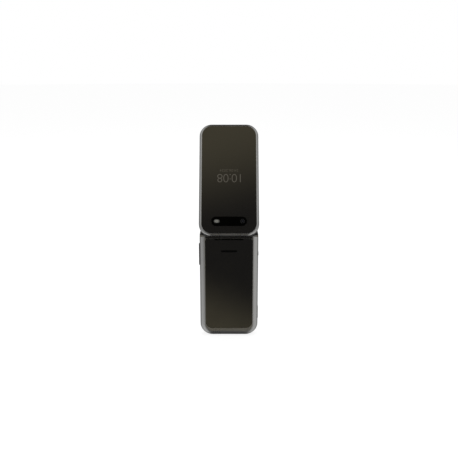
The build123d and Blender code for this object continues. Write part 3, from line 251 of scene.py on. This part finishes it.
SILVER = (0.27, 0.27, 0.265)
MATERIALS = {
    "silver_shell": surface("silver_paint", SILVER, 0.26, metallic=1.0, coat=0.2,
                            coat_roughness=0.12, speck=0.06, bump=0.15),
    "black_shell": surface("black_gloss", (0.010, 0.0095, 0.009), 0.10, bump=0.04),
    "cover_black": surface("cover_gloss", (0.0110, 0.0104, 0.0096), 0.05),
    "outer_glass": surface("outer_glass", (0.0095, 0.0088, 0.0080), 0.03, smudge=0.03),
    "pill_black": surface("pill_gloss", (0.0006, 0.0006, 0.0006), 0.12, specular=0.04),
    "display_lens": surface("display_lens", (0.004, 0.004, 0.0045), 0.03, smudge=0.03),
    "key_black": surface("key_gloss", (0.013, 0.012, 0.0115), 0.16, smudge=0.08, bump=0.05),
    "key_silver": surface("key_silver", SILVER, 0.26, metallic=0.9, speck=0.06, bump=0.12),
    "inner_plastic": surface("inner_plastic", (0.020, 0.020, 0.021), 0.5, bump=0.5),
    "circuit_green": circuit("circuit_green", (0.012, 0.085, 0.04)),
    "rubber_dark": surface("rubber_dark", (0.030, 0.030, 0.029), 0.62, bump=0.5),
    "rubber_silver": surface("rubber_silver", (0.26, 0.26, 0.255), 0.34, metallic=1.0, speck=0.06,
                             bump=0.3),
    "membrane_grey": surface("membrane_grey", (0.30, 0.30, 0.30), 0.6, bump=0.3),
    "steel": surface("steel", (0.50, 0.50, 0.51), 0.26, metallic=1.0, smudge=0.1, bump=0.2),
    "contact_gold": surface("contact_gold", (0.80, 0.55, 0.20), 0.2, metallic=1.0, smudge=0.1),
    "battery_can": surface("battery_film", (0.035, 0.036, 0.040), 0.35, smudge=0.12, bump=0.15),
    "lens_glass": surface("lens_glass", (0.0012, 0.0012, 0.002), 0.02, specular=0.3, smudge=0.01),
    "flash_white": flash_lens("flash_white"),
    "mesh_dark": mesh_weave("mesh_dark", (0.004, 0.004, 0.004)),
    "module_dark": surface("module_dark", (0.02, 0.02, 0.022), 0.4, bump=0.3),
    "cable_amber": surface("cable_amber", (0.40, 0.16, 0.025), 0.3),
}

slot_of = {entry["node"]: entry["material_slot"] for entry in frame["record"]["subparts"]}
for name, node in nodes.items():
    node.data.materials.clear()
    node.data.materials.append(MATERIALS[slot_of[name]])

CLOCK_GLOW = glow("clock_glow", (0.075, 0.068, 0.058))
DATE_GLOW = glow("date_glow", (0.050, 0.045, 0.036))
LEGEND_WHITE = surface("legend_white", (0.62, 0.62, 0.60), 0.3)
LEGEND_GREEN = surface("legend_green", (0.05, 0.62, 0.16), 0.3)
LEGEND_RED = surface("legend_red", (0.85, 0.05, 0.03), 0.3)
RING_METAL = surface("ring_metal", (0.012, 0.012, 0.012), 0.3, specular=0.4, bump=0.1)
LENS_COATING = surface("lens_coating", (0.003, 0.004, 0.010), 0.05, specular=0.3, smudge=0.01)

# ------------------------------------------------------------------ flat marks and turned pieces
MARK = 0.01                    # how far a printed mark stands out of its face
OVER = 0.016                   # the same for a stroke that crosses another
TRIM = 0.02                    # the same for a strip, or for a dark sheet of painted shade
FIGURE_SHARE = 0.73            # height of the figures against the type's size


def add_piece(name, mesh, material, body):
    """Adds a piece that moves with a body of the phone."""
    piece = bpy.data.objects.new(name, mesh)
    mesh.materials.clear()
    mesh.materials.append(material)
    bpy.context.scene.collection.objects.link(piece)
    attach(piece, body)


def shift(x, y, z=0):
    """A move along a face by millimetres."""
    return Matrix.Translation(Vector((x, y, z)) * MM)


def arc(x, y, radius, degrees):
    """The points of a circle at these angles."""
    angles = [math.radians(degree) for degree in degrees]
    return [(x + radius * math.cos(a), y + radius * math.sin(a)) for a in angles]


def closed_mesh(name, drawn, matrix):
    """The mesh of a closed shape drawn in millimetres, placed by a matrix."""
    bmesh.ops.recalc_face_normals(drawn, faces=drawn.faces[:])
    mesh = bpy.data.meshes.new(name)
    drawn.to_mesh(mesh)
    drawn.free()
    mesh.transform(matrix @ Matrix.Scale(MM, 4))
    return mesh


def raised_mesh(name, outline, thick, matrix):
    """The mesh of a flat outline made as thick as this. Blender's own extrusion leaves the faces
    in another order on each run, and this one doesn't."""
    faces = [face.verts[:] for face in outline.faces]
    rim = [edge.verts[:] for edge in outline.edges if len(edge.link_faces) == 1]
    lifted = {v: outline.verts.new(v.co + Vector((0, 0, thick))) for v in outline.verts[:]}
    for corners in faces:
        outline.faces.new([lifted[v] for v in corners])
    for a, b in rim:
        outline.faces.new((a, b, lifted[b], lifted[a]))
    return closed_mesh(name, outline, matrix)


def text_mesh(text, height, at, matrix, thin=0.0, spacing=1.0, turned=False):
    """Characters of one line, centred at a place on a face, as thin solid marks."""
    curve = bpy.data.curves.new("text", "FONT")
    curve.body = text
    curve.size = height * MM / FIGURE_SHARE
    curve.align_x = "CENTER"
    curve.align_y = "CENTER"
    curve.extrude = MARK / 2 * MM
    curve.offset = -thin * MM
    curve.space_character = spacing
    curve.resolution_u = 6
    drawn = bpy.data.objects.new("drawn", curve)
    bpy.context.scene.collection.objects.link(drawn)
    bpy.context.view_layer.update()
    evaluated = drawn.evaluated_get(bpy.context.evaluated_depsgraph_get())
    mesh = bpy.data.meshes.new_from_object(evaluated)
    bpy.data.objects.remove(drawn)
    merged = bmesh.new()
    merged.from_mesh(mesh)
    bmesh.ops.remove_doubles(merged, verts=merged.verts, dist=0.0001 * MM)
    bmesh.ops.dissolve_degenerate(merged, edges=merged.edges, dist=0.001 * MM)
    merged.to_mesh(mesh)
    merged.free()
    low = [min(v.co[i] for v in mesh.vertices) for i in range(2)]
    high = [max(v.co[i] for v in mesh.vertices) for i in range(2)]
    centre = Vector(((low[0] + high[0]) / 2, (low[1] + high[1]) / 2, 0))
    half_turn = Matrix.Rotation(math.pi, 4, "Z") if turned else Matrix.Identity(4)
    place = Matrix.Translation(Vector((at[0] * MM, at[1] * MM, MARK / 2 * MM)))
    mesh.transform(matrix @ place @ half_turn @ Matrix.Translation(-centre))
    return mesh


def join_meshes(name, meshes):
    """One mesh in place of several."""
    joined = bmesh.new()
    for mesh in meshes:
        joined.from_mesh(mesh)
        bpy.data.meshes.remove(mesh)
    mesh = bpy.data.meshes.new(name)
    joined.to_mesh(mesh)
    joined.free()
    return mesh


def stroke_mesh(points, width, matrix, thick=MARK, closed=False):
    """A line of even width with mitred corners and round ends, as one thin solid mark."""
    half = width / 2
    path = [Vector(point) for point in points]
    legs = [(b - a).normalized() for a, b in zip(path, path[1:] + path[:1])]
    outline = bmesh.new()
    sides = []
    for i, point in enumerate(path):
        into = legs[i - 1] if closed or i else legs[0]
        out_of = legs[i] if closed or i < len(path) - 1 else legs[i - 1]
        along = (into + out_of).normalized()
        across = Vector((-along.y, along.x)) * half / along.dot(into)
        sides.append([outline.verts.new((*(point + across * sign), 0)) for sign in (1, -1)])
    for (left_a, right_a), (left_b, right_b) in zip(sides, sides[1:] + sides[:1] * closed):
        outline.faces.new((right_a, right_b, left_b, left_a))
    if not closed:                 # the last of the legs closes the path, so it isn't drawn
        for centre, outwards, (first, last) in ((path[0], -legs[0], sides[0]),
                                                (path[-1], legs[-2], sides[-1][::-1])):
            end = [centre + Matrix.Rotation(math.radians(turn), 2) @ outwards * half
                   for turn in (-60, -30, 0, 30, 60)]
            outline.faces.new([first, *[outline.verts.new((*spot, 0)) for spot in end], last])
    return raised_mesh("stroke", outline, thick, matrix)


def rounded_panel(width, height, radius, at, matrix, thick=MARK):
    """A thin rounded rectangle on a face."""
    outline = bmesh.new()
    points = []
    for quarter, (sx, sy) in enumerate(((1, 1), (-1, 1), (-1, -1), (1, -1))):
        points += arc(at[0] + sx * (width / 2 - radius), at[1] + sy * (height / 2 - radius),
                      radius, range(90 * quarter, 90 * quarter + 91, 15))
    outline.faces.new([outline.verts.new((x, y, 0)) for x, y in points])
    return raised_mesh("panel", outline, thick, matrix)


def turned_mesh(profile, matrix, segments=48):
    """A profile of (radius, height) points turned about the axis out of a face."""
    turned = bmesh.new()
    rings = []
    for radius, height in profile:
        if radius == 0:
            rings.append([turned.verts.new((0, 0, height))])
            continue
        rings.append([
            turned.verts.new((radius * math.cos(a), radius * math.sin(a), height))
            for a in (i * math.tau / segments for i in range(segments))
        ])
    for low, high in zip(rings, rings[1:]):
        for i in range(segments):
            j = (i + 1) % segments
            if len(low) == 1:
                turned.faces.new((low[0], high[j], high[i]))
            elif len(high) == 1:
                turned.faces.new((low[i], low[j], high[0]))
            else:
                turned.faces.new((low[i], low[j], high[j], high[i]))
    bmesh.ops.remove_doubles(turned, verts=turned.verts, dist=0.0001)
    for face in turned.faces:
        face.smooth = True
    return closed_mesh("turned", turned, matrix)


# ------------------------------------------------------------------ outer clock and camera
CLOCK_HEIGHT = 8.7
CLOCK_U = 47.2                 # along the lid from the hinge axis
DATE_HEIGHT = 2.7
DATE_U = 54.6
clock = text_mesh("10:08", CLOCK_HEIGHT, (0, CLOCK_U), LID_OUTSIDE, thin=0.22, spacing=0.93,
                  turned=True)
add_piece("clock_digits", clock, CLOCK_GLOW, "lid")
date = text_mesh("24.06.2024", DATE_HEIGHT, (0, DATE_U), LID_OUTSIDE, thin=0.02, spacing=1.05,
                 turned=True)
add_piece("date_digits", date, DATE_GLOW, "lid")

WINDOW_RISE = 0.25             # the camera window's face over the glass
CAMERA_WINDOW = LID_OUTSIDE @ shift(*CAMERA_AT, WINDOW_RISE)
RING_PROFILE = [(1.75, 0.0), (1.95, 0.0), (1.95, 0.06), (1.85, 0.1), (1.75, 0.06), (1.75, 0.0)]
PUPIL_PROFILE = [(0.0, 0.0), (0.8, 0.0), (0.8, 0.02), (0.6, 0.06), (0.35, 0.09), (0.0, 0.1)]
ring = turned_mesh(RING_PROFILE, CAMERA_WINDOW)
add_piece("camera_lens_ring", ring, RING_METAL, "lid")
pupil = turned_mesh(PUPIL_PROFILE, CAMERA_WINDOW, segments=32)
add_piece("camera_lens_pupil", pupil, LENS_COATING, "lid")

# ------------------------------------------------------------------ marks on the keys
LETTERS = {"2": "ABC", "3": "DEF", "4": "GHI", "5": "JKL", "6": "MNO", "7": "PQRS", "8": "TUV",
           "9": "WXYZ"}
DIGIT_HEIGHT = 4.2
DIGIT_LEFT = 2.6               # from the key's middle
LETTER_HEIGHT = 1.7
LETTER_RIGHT = 3.4
STAR_ARM = 1.25
STAR_LINE = 0.42
STAR_SLANT = 0.866             # a slanted arm's reach to the side, for an arm of 1
STAR_STEP = 0.005              # from each arm's top down to the next one's


def key_middle(name):
    low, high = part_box(name)
    return (-(low[0] + high[0]) / 2 / MM, (low[2] + high[2]) / 2 / MM)


for key in [str(i) for i in range(10)] + ["star", "hash"]:
    x, z = key_middle("key_" + key)
    if key == "star":
        spot = KEYPAD @ shift(x - DIGIT_LEFT, z)
        arms = [Vector((0, STAR_ARM)), Vector((STAR_ARM * STAR_SLANT, STAR_ARM / 2)),
                Vector((STAR_ARM * STAR_SLANT, -STAR_ARM / 2))]
        marks = [stroke_mesh([-arm, arm], STAR_LINE, spot, thick=OVER - STAR_STEP * i)
                 for i, arm in enumerate(arms)]
    else:
        marks = [text_mesh("#" if key == "hash" else key, DIGIT_HEIGHT, (x - DIGIT_LEFT, z),
                           KEYPAD, thin=0.05)]
    if key in LETTERS:
        marks.append(text_mesh(LETTERS[key], LETTER_HEIGHT, (x + LETTER_RIGHT, z), KEYPAD))
    add_piece("legend_" + key, join_meshes("legend_" + key, marks), LEGEND_WHITE,
              "key_" + key)

CALL_TURN = math.radians(135)  # the call sign's receiver stands aslant, the end sign's lies
BOW_LINE = 0.55
BOW_RADIUS = 2.1
BOW_DROP = 0.9                 # from the key's middle down to the middle of the bow's circle
BOW_DEGREES = range(20, 161, 14)
END_LINE = 1.15
END_SPLAY = 0.25               # the ends' reach outwards and down
END_DROP = 0.75


def handset(middle, turn):
    """A telephone receiver, as a bowed line with two thick ends."""
    spin = Matrix.Rotation(turn, 2)
    bow = [Vector(point) for point in arc(0, -BOW_DROP, BOW_RADIUS, BOW_DEGREES)]
    ends = [[bow[0], bow[0] + Vector((END_SPLAY, -END_DROP))],
            [bow[-1], bow[-1] + Vector((-END_SPLAY, -END_DROP))]]
    place = KEYPAD @ shift(*middle)
    meshes = [stroke_mesh([spin @ p for p in bow], BOW_LINE, place)]
    meshes += [stroke_mesh([spin @ p for p in end], END_LINE, place, thick=OVER) for end in ends]
    return join_meshes("handset", meshes)


add_piece("legend_call", handset(key_middle("call_key"), CALL_TURN), LEGEND_GREEN, "call_key")
add_piece("legend_end", handset(key_middle("end_key"), 0.0), LEGEND_RED, "end_key")

DASH_REACH = 1.5               # half a dash
DASH_LINE = 0.55
for key in ("left_soft_key", "right_soft_key"):
    dash = stroke_mesh([(-DASH_REACH, 0), (DASH_REACH, 0)], DASH_LINE,
                       KEYPAD @ shift(*key_middle(key)))
    add_piece("legend_" + key, dash, LEGEND_WHITE, key)

ARROW = [(-0.8, 7.4), (0, 8.1), (0.8, 7.4)]      # from the navigation ring's middle
ARROW_LINE = 0.32
ring_middle = KEYPAD @ shift(*key_middle("navigation_ring"))
quarter_turns = [Matrix.Rotation(quarter * math.pi / 2, 4, "Z") for quarter in range(4)]
arrows = [stroke_mesh(ARROW, ARROW_LINE, ring_middle @ turn) for turn in quarter_turns]
add_piece("legend_navigation", join_meshes("arrows", arrows), LEGEND_WHITE, "navigation_ring")

# ------------------------------------------------------------------ main display, switched on
SCREEN_WIDTH = 42.6
SCREEN_HEIGHT = 57.0
SCREEN_U = 50.0                # the screen's middle along the lid from the hinge axis
SCREEN_R = 0.8
MARK_RISE = 0.012              # marks over the lit panel


def lit_panel(name, top, bottom, low, high):
    """A lit picture area whose colour runs from one end to the other."""
    material, n, shader = new_material(name, {
        "Base Color": (0.003, 0.003, 0.004), "Roughness": 0.06, "Emission Strength": 1.0})
    place = n.add("ShaderNodeSeparateXYZ", {"Vector": n.place()})
    bend = n.math("MULTIPLY", n.noise(28, detail=1.0, stretch=(1.0, 0.3, 0.6)), 0.02)
    height = n.math("ADD", place.outputs["Z"], bend)
    share = n.spread(height, 0.0, 1.0, low, high, smooth=True)
    n.put(n.blend(share, bottom, top), shader.inputs["Emission Color"])
    return material


lid_foot = HINGE.z + (SCREEN_U - SCREEN_HEIGHT / 2) * MM * ALONG_LID.z
lid_head = HINGE.z + (SCREEN_U + SCREEN_HEIGHT / 2) * MM * ALONG_LID.z
PANEL_GLOW = lit_panel("panel_glow", (0.010, 0.045, 0.13), (0.02, 0.20, 0.26), lid_foot, lid_head)
ICON_GLOW = glow("icon_glow", (0.62, 0.66, 0.68))
screen = rounded_panel(SCREEN_WIDTH, SCREEN_HEIGHT, SCREEN_R, (0, SCREEN_U), LID_INSIDE)
add_piece("screen_picture", screen, PANEL_GLOW, "lid")

ON_SCREEN = LID_INSIDE @ shift(0, 0, MARK_RISE)
SCREEN_CLOCK_HEIGHT = 9.0
SCREEN_CLOCK_RISE = 11.5       # over the screen's middle
SCREEN_DATE_HEIGHT = 2.6
SCREEN_DATE_RISE = 3.0
SIDE_MARGIN = 3.0              # from the screen's edges to the icons
TOP_MARGIN = 2.6
BOTTOM_MARGIN = 3.2
ICON_WIDTH = 2.4
ICON_LINE = 0.28
ICON_HALF = 0.8                # half the height of the icons in the top row
LINE_PITCH = 0.9               # of the signal's bars and the menu's lines
BAR_LINE = 0.5
BAR_STEP = 0.5                 # from one bar's top to the next one's
CELL_LINE = 0.2
LEVEL_LINE = 1.0
CAP_LINE = 0.3
ARROW_REACH = 1.0              # of the back arrow's two barbs, to the side and up or down
ARROW_TIP = 2.5                # from the icons' edge
RING_RADIUS = 1.0
top_row = SCREEN_U + SCREEN_HEIGHT / 2 - TOP_MARGIN
bottom_row = SCREEN_U - SCREEN_HEIGHT / 2 + BOTTOM_MARGIN
side = SCREEN_WIDTH / 2 - SIDE_MARGIN
icons = [
    text_mesh("10:08", SCREEN_CLOCK_HEIGHT, (0, SCREEN_U + SCREEN_CLOCK_RISE), ON_SCREEN,
              thin=0.12),
    text_mesh("24.06.2024", SCREEN_DATE_HEIGHT, (0, SCREEN_U + SCREEN_DATE_RISE), ON_SCREEN),
]


def draw(points, width=ICON_LINE, **settings):
    """Adds a stroke to the screen's icons."""
    icons.append(stroke_mesh(points, width, ON_SCREEN, **settings))


for bar in range(4):           # signal strength
    x = -side + bar * LINE_PITCH
    draw([(x, top_row - ICON_HALF), (x, top_row - ICON_HALF / 2 + bar * BAR_STEP)], BAR_LINE)
# A battery, with its level and its cap.
draw([(side - ICON_WIDTH, top_row - ICON_HALF), (side, top_row - ICON_HALF),
      (side, top_row + ICON_HALF), (side - ICON_WIDTH, top_row + ICON_HALF)], CELL_LINE,
     closed=True)
draw([(side - 1.7, top_row), (side - 0.9, top_row)], LEVEL_LINE)
draw([(side + 0.35, top_row - 0.3), (side + 0.35, top_row + 0.3)], CAP_LINE)
for line in (-1, 0, 1):        # menu lines over the left soft key
    y = bottom_row + line * LINE_PITCH
    draw([(-side, y), (-side + ICON_WIDTH, y)])
# A back arrow over the right soft key, and a ring over the select key.
barb_x = side - ARROW_TIP + ARROW_REACH
draw([(barb_x, bottom_row + ARROW_REACH), (side - ARROW_TIP, bottom_row),
      (barb_x, bottom_row - ARROW_REACH)])
draw([(side - ICON_WIDTH, bottom_row), (side, bottom_row)], thick=OVER)
draw(arc(0, bottom_row, RING_RADIUS, range(0, 360, 15)), closed=True)
add_piece("screen_icons", join_meshes("screen_icons", icons), ICON_GLOW, "lid")

# ------------------------------------------------------------------ small marks and trims
battery_low, battery_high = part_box("battery")
LABEL_WIDTH = 30
LABEL_HEIGHT = 36
LABEL_R = 1.5
LABEL_DROP = 2                 # its middle under the battery's
label_middle = (0, (battery_low[2] + battery_high[2]) / 2 / MM - LABEL_DROP)
label = rounded_panel(LABEL_WIDTH, LABEL_HEIGHT, LABEL_R, label_middle, BATTERY_FACE)
LABEL_GREY = surface("label_grey", (0.30, 0.30, 0.30), 0.5, bump=0.2)
add_piece("battery_label", label, LABEL_GREY, "base")

POLE_LINE = 0.4
POLE_REACH = 1.1               # half a stroke of the plus and minus signs
POLE_X = 6.0
POLE_DROP = 4.5                # under the battery's top
pole_z = battery_high[2] / MM - POLE_DROP
poles = [stroke_mesh([(x - POLE_REACH, pole_z), (x + POLE_REACH, pole_z)], POLE_LINE, BATTERY_FACE)
         for x in (-POLE_X, POLE_X)]
poles.append(stroke_mesh([(POLE_X, pole_z - POLE_REACH), (POLE_X, pole_z + POLE_REACH)], POLE_LINE,
                         BATTERY_FACE, thick=OVER))
add_piece("battery_poles", join_meshes("poles", poles), LEGEND_WHITE, "base")

cover_low, cover_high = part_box("battery_cover")
TRIM_FOOT = 95.0               # above the edge of the cover's seat
TRIM_HEAD = 96.85              # under the edge that faces the lid
TRIM_SHORT = 0.4               # how much shorter it is than the cover is wide
TRIM_R = 0.5
trim = rounded_panel((cover_high[0] - cover_low[0]) / MM - TRIM_SHORT, TRIM_HEAD - TRIM_FOOT,
                     TRIM_R, (0, (TRIM_FOOT + TRIM_HEAD) / 2), COVER_FACE, thick=TRIM)
add_piece("hinge_trim", trim, MATERIALS["cover_black"], "base")

# A black sheet on the ledge that the cover's notch lays open: painted shade in the notch.
NOTCH_WIDTH = 26.6
NOTCH_HEIGHT = 1.25
NOTCH_R = 0.1
NOTCH_DROP = 0.75              # its middle under the trim's foot
notch = rounded_panel(NOTCH_WIDTH, NOTCH_HEIGHT, NOTCH_R, (0, TRIM_FOOT - NOTCH_DROP),
                      NOTCH_SEAT, thick=TRIM)
add_piece("notch_shade", notch, MATERIALS["pill_black"], "base")

# A dark ring round the speaker slot's edge, as thin as a print: painted shade that makes the slot look wider and
# darker.
SLOT_WIDTH = 14.5
SLOT_HEIGHT = 1.5
SLOT_Z = 83.2
SLOT_SHADE_LINE = 0.34
slot_reach = (SLOT_WIDTH - SLOT_HEIGHT) / 2      # to the middles of its round ends
slot_edge = [
    point for x, start in ((slot_reach, -90), (-slot_reach, 90))
    for point in arc(x, SLOT_Z, SLOT_HEIGHT / 2, range(start, start + 181, 30))
]
slot_shade_ring = stroke_mesh(slot_edge, SLOT_SHADE_LINE, COVER_FACE, thick=TRIM, closed=True)
add_piece("speaker_slot_shade", slot_shade_ring, MATERIALS["pill_black"], "battery_cover")

jack_low, jack_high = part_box("headset_jack")
frame_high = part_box("base_frame")[1]
JACK_SIDE = face_matrix(Vector((jack_high[0], (jack_low[1] + jack_high[1]) / 2,
                                (jack_low[2] + jack_high[2]) / 2)), Vector((0, 1, 0)), UP)
COLLAR_INNER = 1.76
COLLAR_OUTER = 2.12
COLLAR_RISE = 0.12             # its narrower top over the frame's side
COLLAR_TOP_INNER = 1.86
COLLAR_TOP_OUTER = 2.0
reach = (frame_high[0] - jack_high[0]) / MM
top = reach + COLLAR_RISE
collar = turned_mesh(
    [(COLLAR_INNER, 0.0), (COLLAR_OUTER, 0.0), (COLLAR_OUTER, reach), (COLLAR_TOP_OUTER, top),
     (COLLAR_TOP_INNER, top), (COLLAR_INNER, reach), (COLLAR_INNER, 0.0)], JACK_SIDE)
add_piece("headset_collar", collar, MATERIALS["pill_black"], "base")

# ------------------------------------------------------------------ what gloss and metal show
scene = bpy.context.scene
world = bpy.data.worlds.new("studio")
scene.world = world
world.use_nodes = True
w = Nodes(world.node_tree)
axes = w.add("ShaderNodeSeparateXYZ", {"Vector": w.add("ShaderNodeTexCoord").outputs["Generated"]})

# The colour depends on the direction that a reflected ray takes. It is dark, with two warm bands
# on the back's side, one up and one down, a soft band down on the keypad's side, and a bright wall
# on the left and on the right. Each wall is darker over the horizon, brighter again high up, and
# dark on the keypad's side. The left one is also brighter far out and low down.


def zone(value, start, full, end=None, gone=None):
    """A share that rises from 0 to 1 between start and full, and falls again if it ends."""
    rise = w.spread(value, 0.0, 1.0, start, full, smooth=True)
    if end is None:
        return rise
    return w.math("MULTIPLY", rise, w.spread(value, 1.0, 0.0, end, gone, smooth=True))


def grey(tone):
    return (tone, tone, tone)


def layered(colour, *layers):
    """A colour with others laid over it in turn, each by a share."""
    for share, over in layers:
        colour = w.blend(share, colour, over)
    return colour


DARK = (0.07, 0.066, 0.061)
UNDERFOOT = grey(0.07)
WARM = (0.92, 0.81, 0.52)
KEYPAD_LIGHT = (0.45, 0.45, 0.47)
right, forward, up = (axes.outputs[axis] for axis in "XYZ")
left, backward, down = (w.math("MULTIPLY", axis, -1.0) for axis in (right, forward, up))
at_back = zone(backward, -0.1, 0.2)
above = w.math("ADD", up, w.math("MULTIPLY", left, 0.2))
below = w.math("ADD", down, w.math("MULTIPLY", left, 0.4))
warm_above = w.math("MULTIPLY", at_back, zone(above, 0.64, 0.745, 0.78, 0.88))
warm_below = w.math("MULTIPLY", at_back, zone(below, 0.325, 0.41, 0.41, 0.43))
at_keypad = zone(forward, 0.1, 0.5)
keypad_band = w.math("MULTIPLY", at_keypad, zone(down, 0.05, 0.35, 0.6, 0.8))
high = zone(up, -0.2, 0.15)
higher = zone(up, 0.25, 0.65)
past = zone(forward, 0.0, 0.6)
left_wall = layered(
    (0.44, 0.435, 0.43), (zone(left, 0.55, 0.98), grey(0.86)), (zone(down, 0.28, 0.42), grey(1.25)),
    (high, grey(0.60)), (higher, grey(1.15)), (past, grey(0.30)))
right_wall = layered(
    (1.15, 1.14, 1.13), (high, grey(0.70)), (higher, grey(1.15)), (past, grey(0.36)))
studio = layered(
    DARK, (zone(down, 0.42, 0.55), UNDERFOOT), (warm_above, WARM), (warm_below, WARM),
    (keypad_band, KEYPAD_LIGHT), (zone(left, 0.12, 0.34), left_wall),
    (zone(right, 0.10, 0.38), right_wall))

# ------------------------------------------------------------------ background and floor
ambient = w.add("ShaderNodeBackground", {"Color": grey(1), "Strength": 0.6})
white = w.add("ShaderNodeBackground", {"Color": grey(1), "Strength": 1.0})
reflected = w.add("ShaderNodeBackground", {"Color": studio, "Strength": 1.0})
ray = w.add("ShaderNodeLightPath").outputs
lighting = w.add("ShaderNodeMixShader", {0: ray["Is Glossy Ray"], 1: ambient, 2: reflected})
in_view = w.math("MAXIMUM", ray["Is Camera Ray"], ray["Is Transmission Ray"])
backdrop = w.add("ShaderNodeMixShader", {0: in_view, 1: lighting, 2: white})
w.add("ShaderNodeOutputWorld", {"Surface": backdrop})

FLOOR_RADIUS = 6.0             # in metres
FLOOR_GREY = 0.32
FLOOR_GLOW = 0.79              # lifts the lit floor to the backdrop's white for the camera alone
floor_mesh = bpy.data.meshes.new("floor")
disc = bmesh.new()
bmesh.ops.create_circle(disc, cap_ends=True, segments=96, radius=FLOOR_RADIUS)
disc.to_mesh(floor_mesh)
disc.free()
floor = bpy.data.objects.new("floor", floor_mesh)
scene.collection.objects.link(floor)
floor.visible_glossy = False
floor_material = bpy.data.materials.new("floor_white")
floor_material.use_nodes = True
f = Nodes(floor_material.node_tree)
strength = f.math("MULTIPLY", f.add("ShaderNodeLightPath").outputs["Is Camera Ray"], FLOOR_GLOW)
matt = f.add("ShaderNodeBsdfDiffuse", {"Color": grey(FLOOR_GREY)})
bright = f.add("ShaderNodeEmission", {"Color": grey(1), "Strength": strength})
both = f.add("ShaderNodeAddShader", {0: matt, 1: bright})
f.add("ShaderNodeOutputMaterial", {"Surface": both})
floor_mesh.materials.append(floor_material)

# ------------------------------------------------------------------ lamps, in metres and watts
LAMP_AIM = (0, 0.01, 0.1)      # the phone's middle
LAMP_POWER = 4.0
SIDE_LAMP = (0.7, 1.2)
TOP_LAMP = (0.9, 0.9)


def area_light(name, place, size):
    """A lamp for matt light. Gloss doesn't show it, since the world holds all that gloss shows."""
    data = bpy.data.lights.new(name, "AREA")
    data.shape = "RECTANGLE"
    data.size, data.size_y = size
    data.energy = LAMP_POWER
    lamp = bpy.data.objects.new(name, data)
    lamp.location = place
    lamp.rotation_euler = (Vector(LAMP_AIM) - Vector(place)).to_track_quat("-Z", "Y").to_euler()
    lamp.visible_glossy = False
    scene.collection.objects.link(lamp)


area_light("softbox_left", (-1.1, -0.35, 0.45), SIDE_LAMP)
area_light("softbox_right", (1.1, -0.30, 0.45), SIDE_LAMP)
area_light("softbox_top", (0, 0.2, 1.4), TOP_LAMP)

# ------------------------------------------------------------------ camera
CAMERA_ELEVATION = math.radians(14.7)            # these four fit the photograph's outline
CAMERA_DISTANCE = 600 * MM
CAMERA_AIM = Vector((0, -0.4, 102.78)) * MM
CAMERA_LENS = 51.77
camera_data = bpy.data.cameras.new("camera")
camera_data.lens = CAMERA_LENS
camera_data.sensor_width = 36
camera_data.clip_start = 0.01
camera = bpy.data.objects.new("camera", camera_data)
scene.collection.objects.link(camera)
back = Vector((0, -math.cos(CAMERA_ELEVATION), math.sin(CAMERA_ELEVATION)))
camera.location = CAMERA_AIM + back * CAMERA_DISTANCE
camera.rotation_euler = back.to_track_quat("Z", "Y").to_euler()
scene.camera = camera
scene.view_settings.view_transform = "Standard"
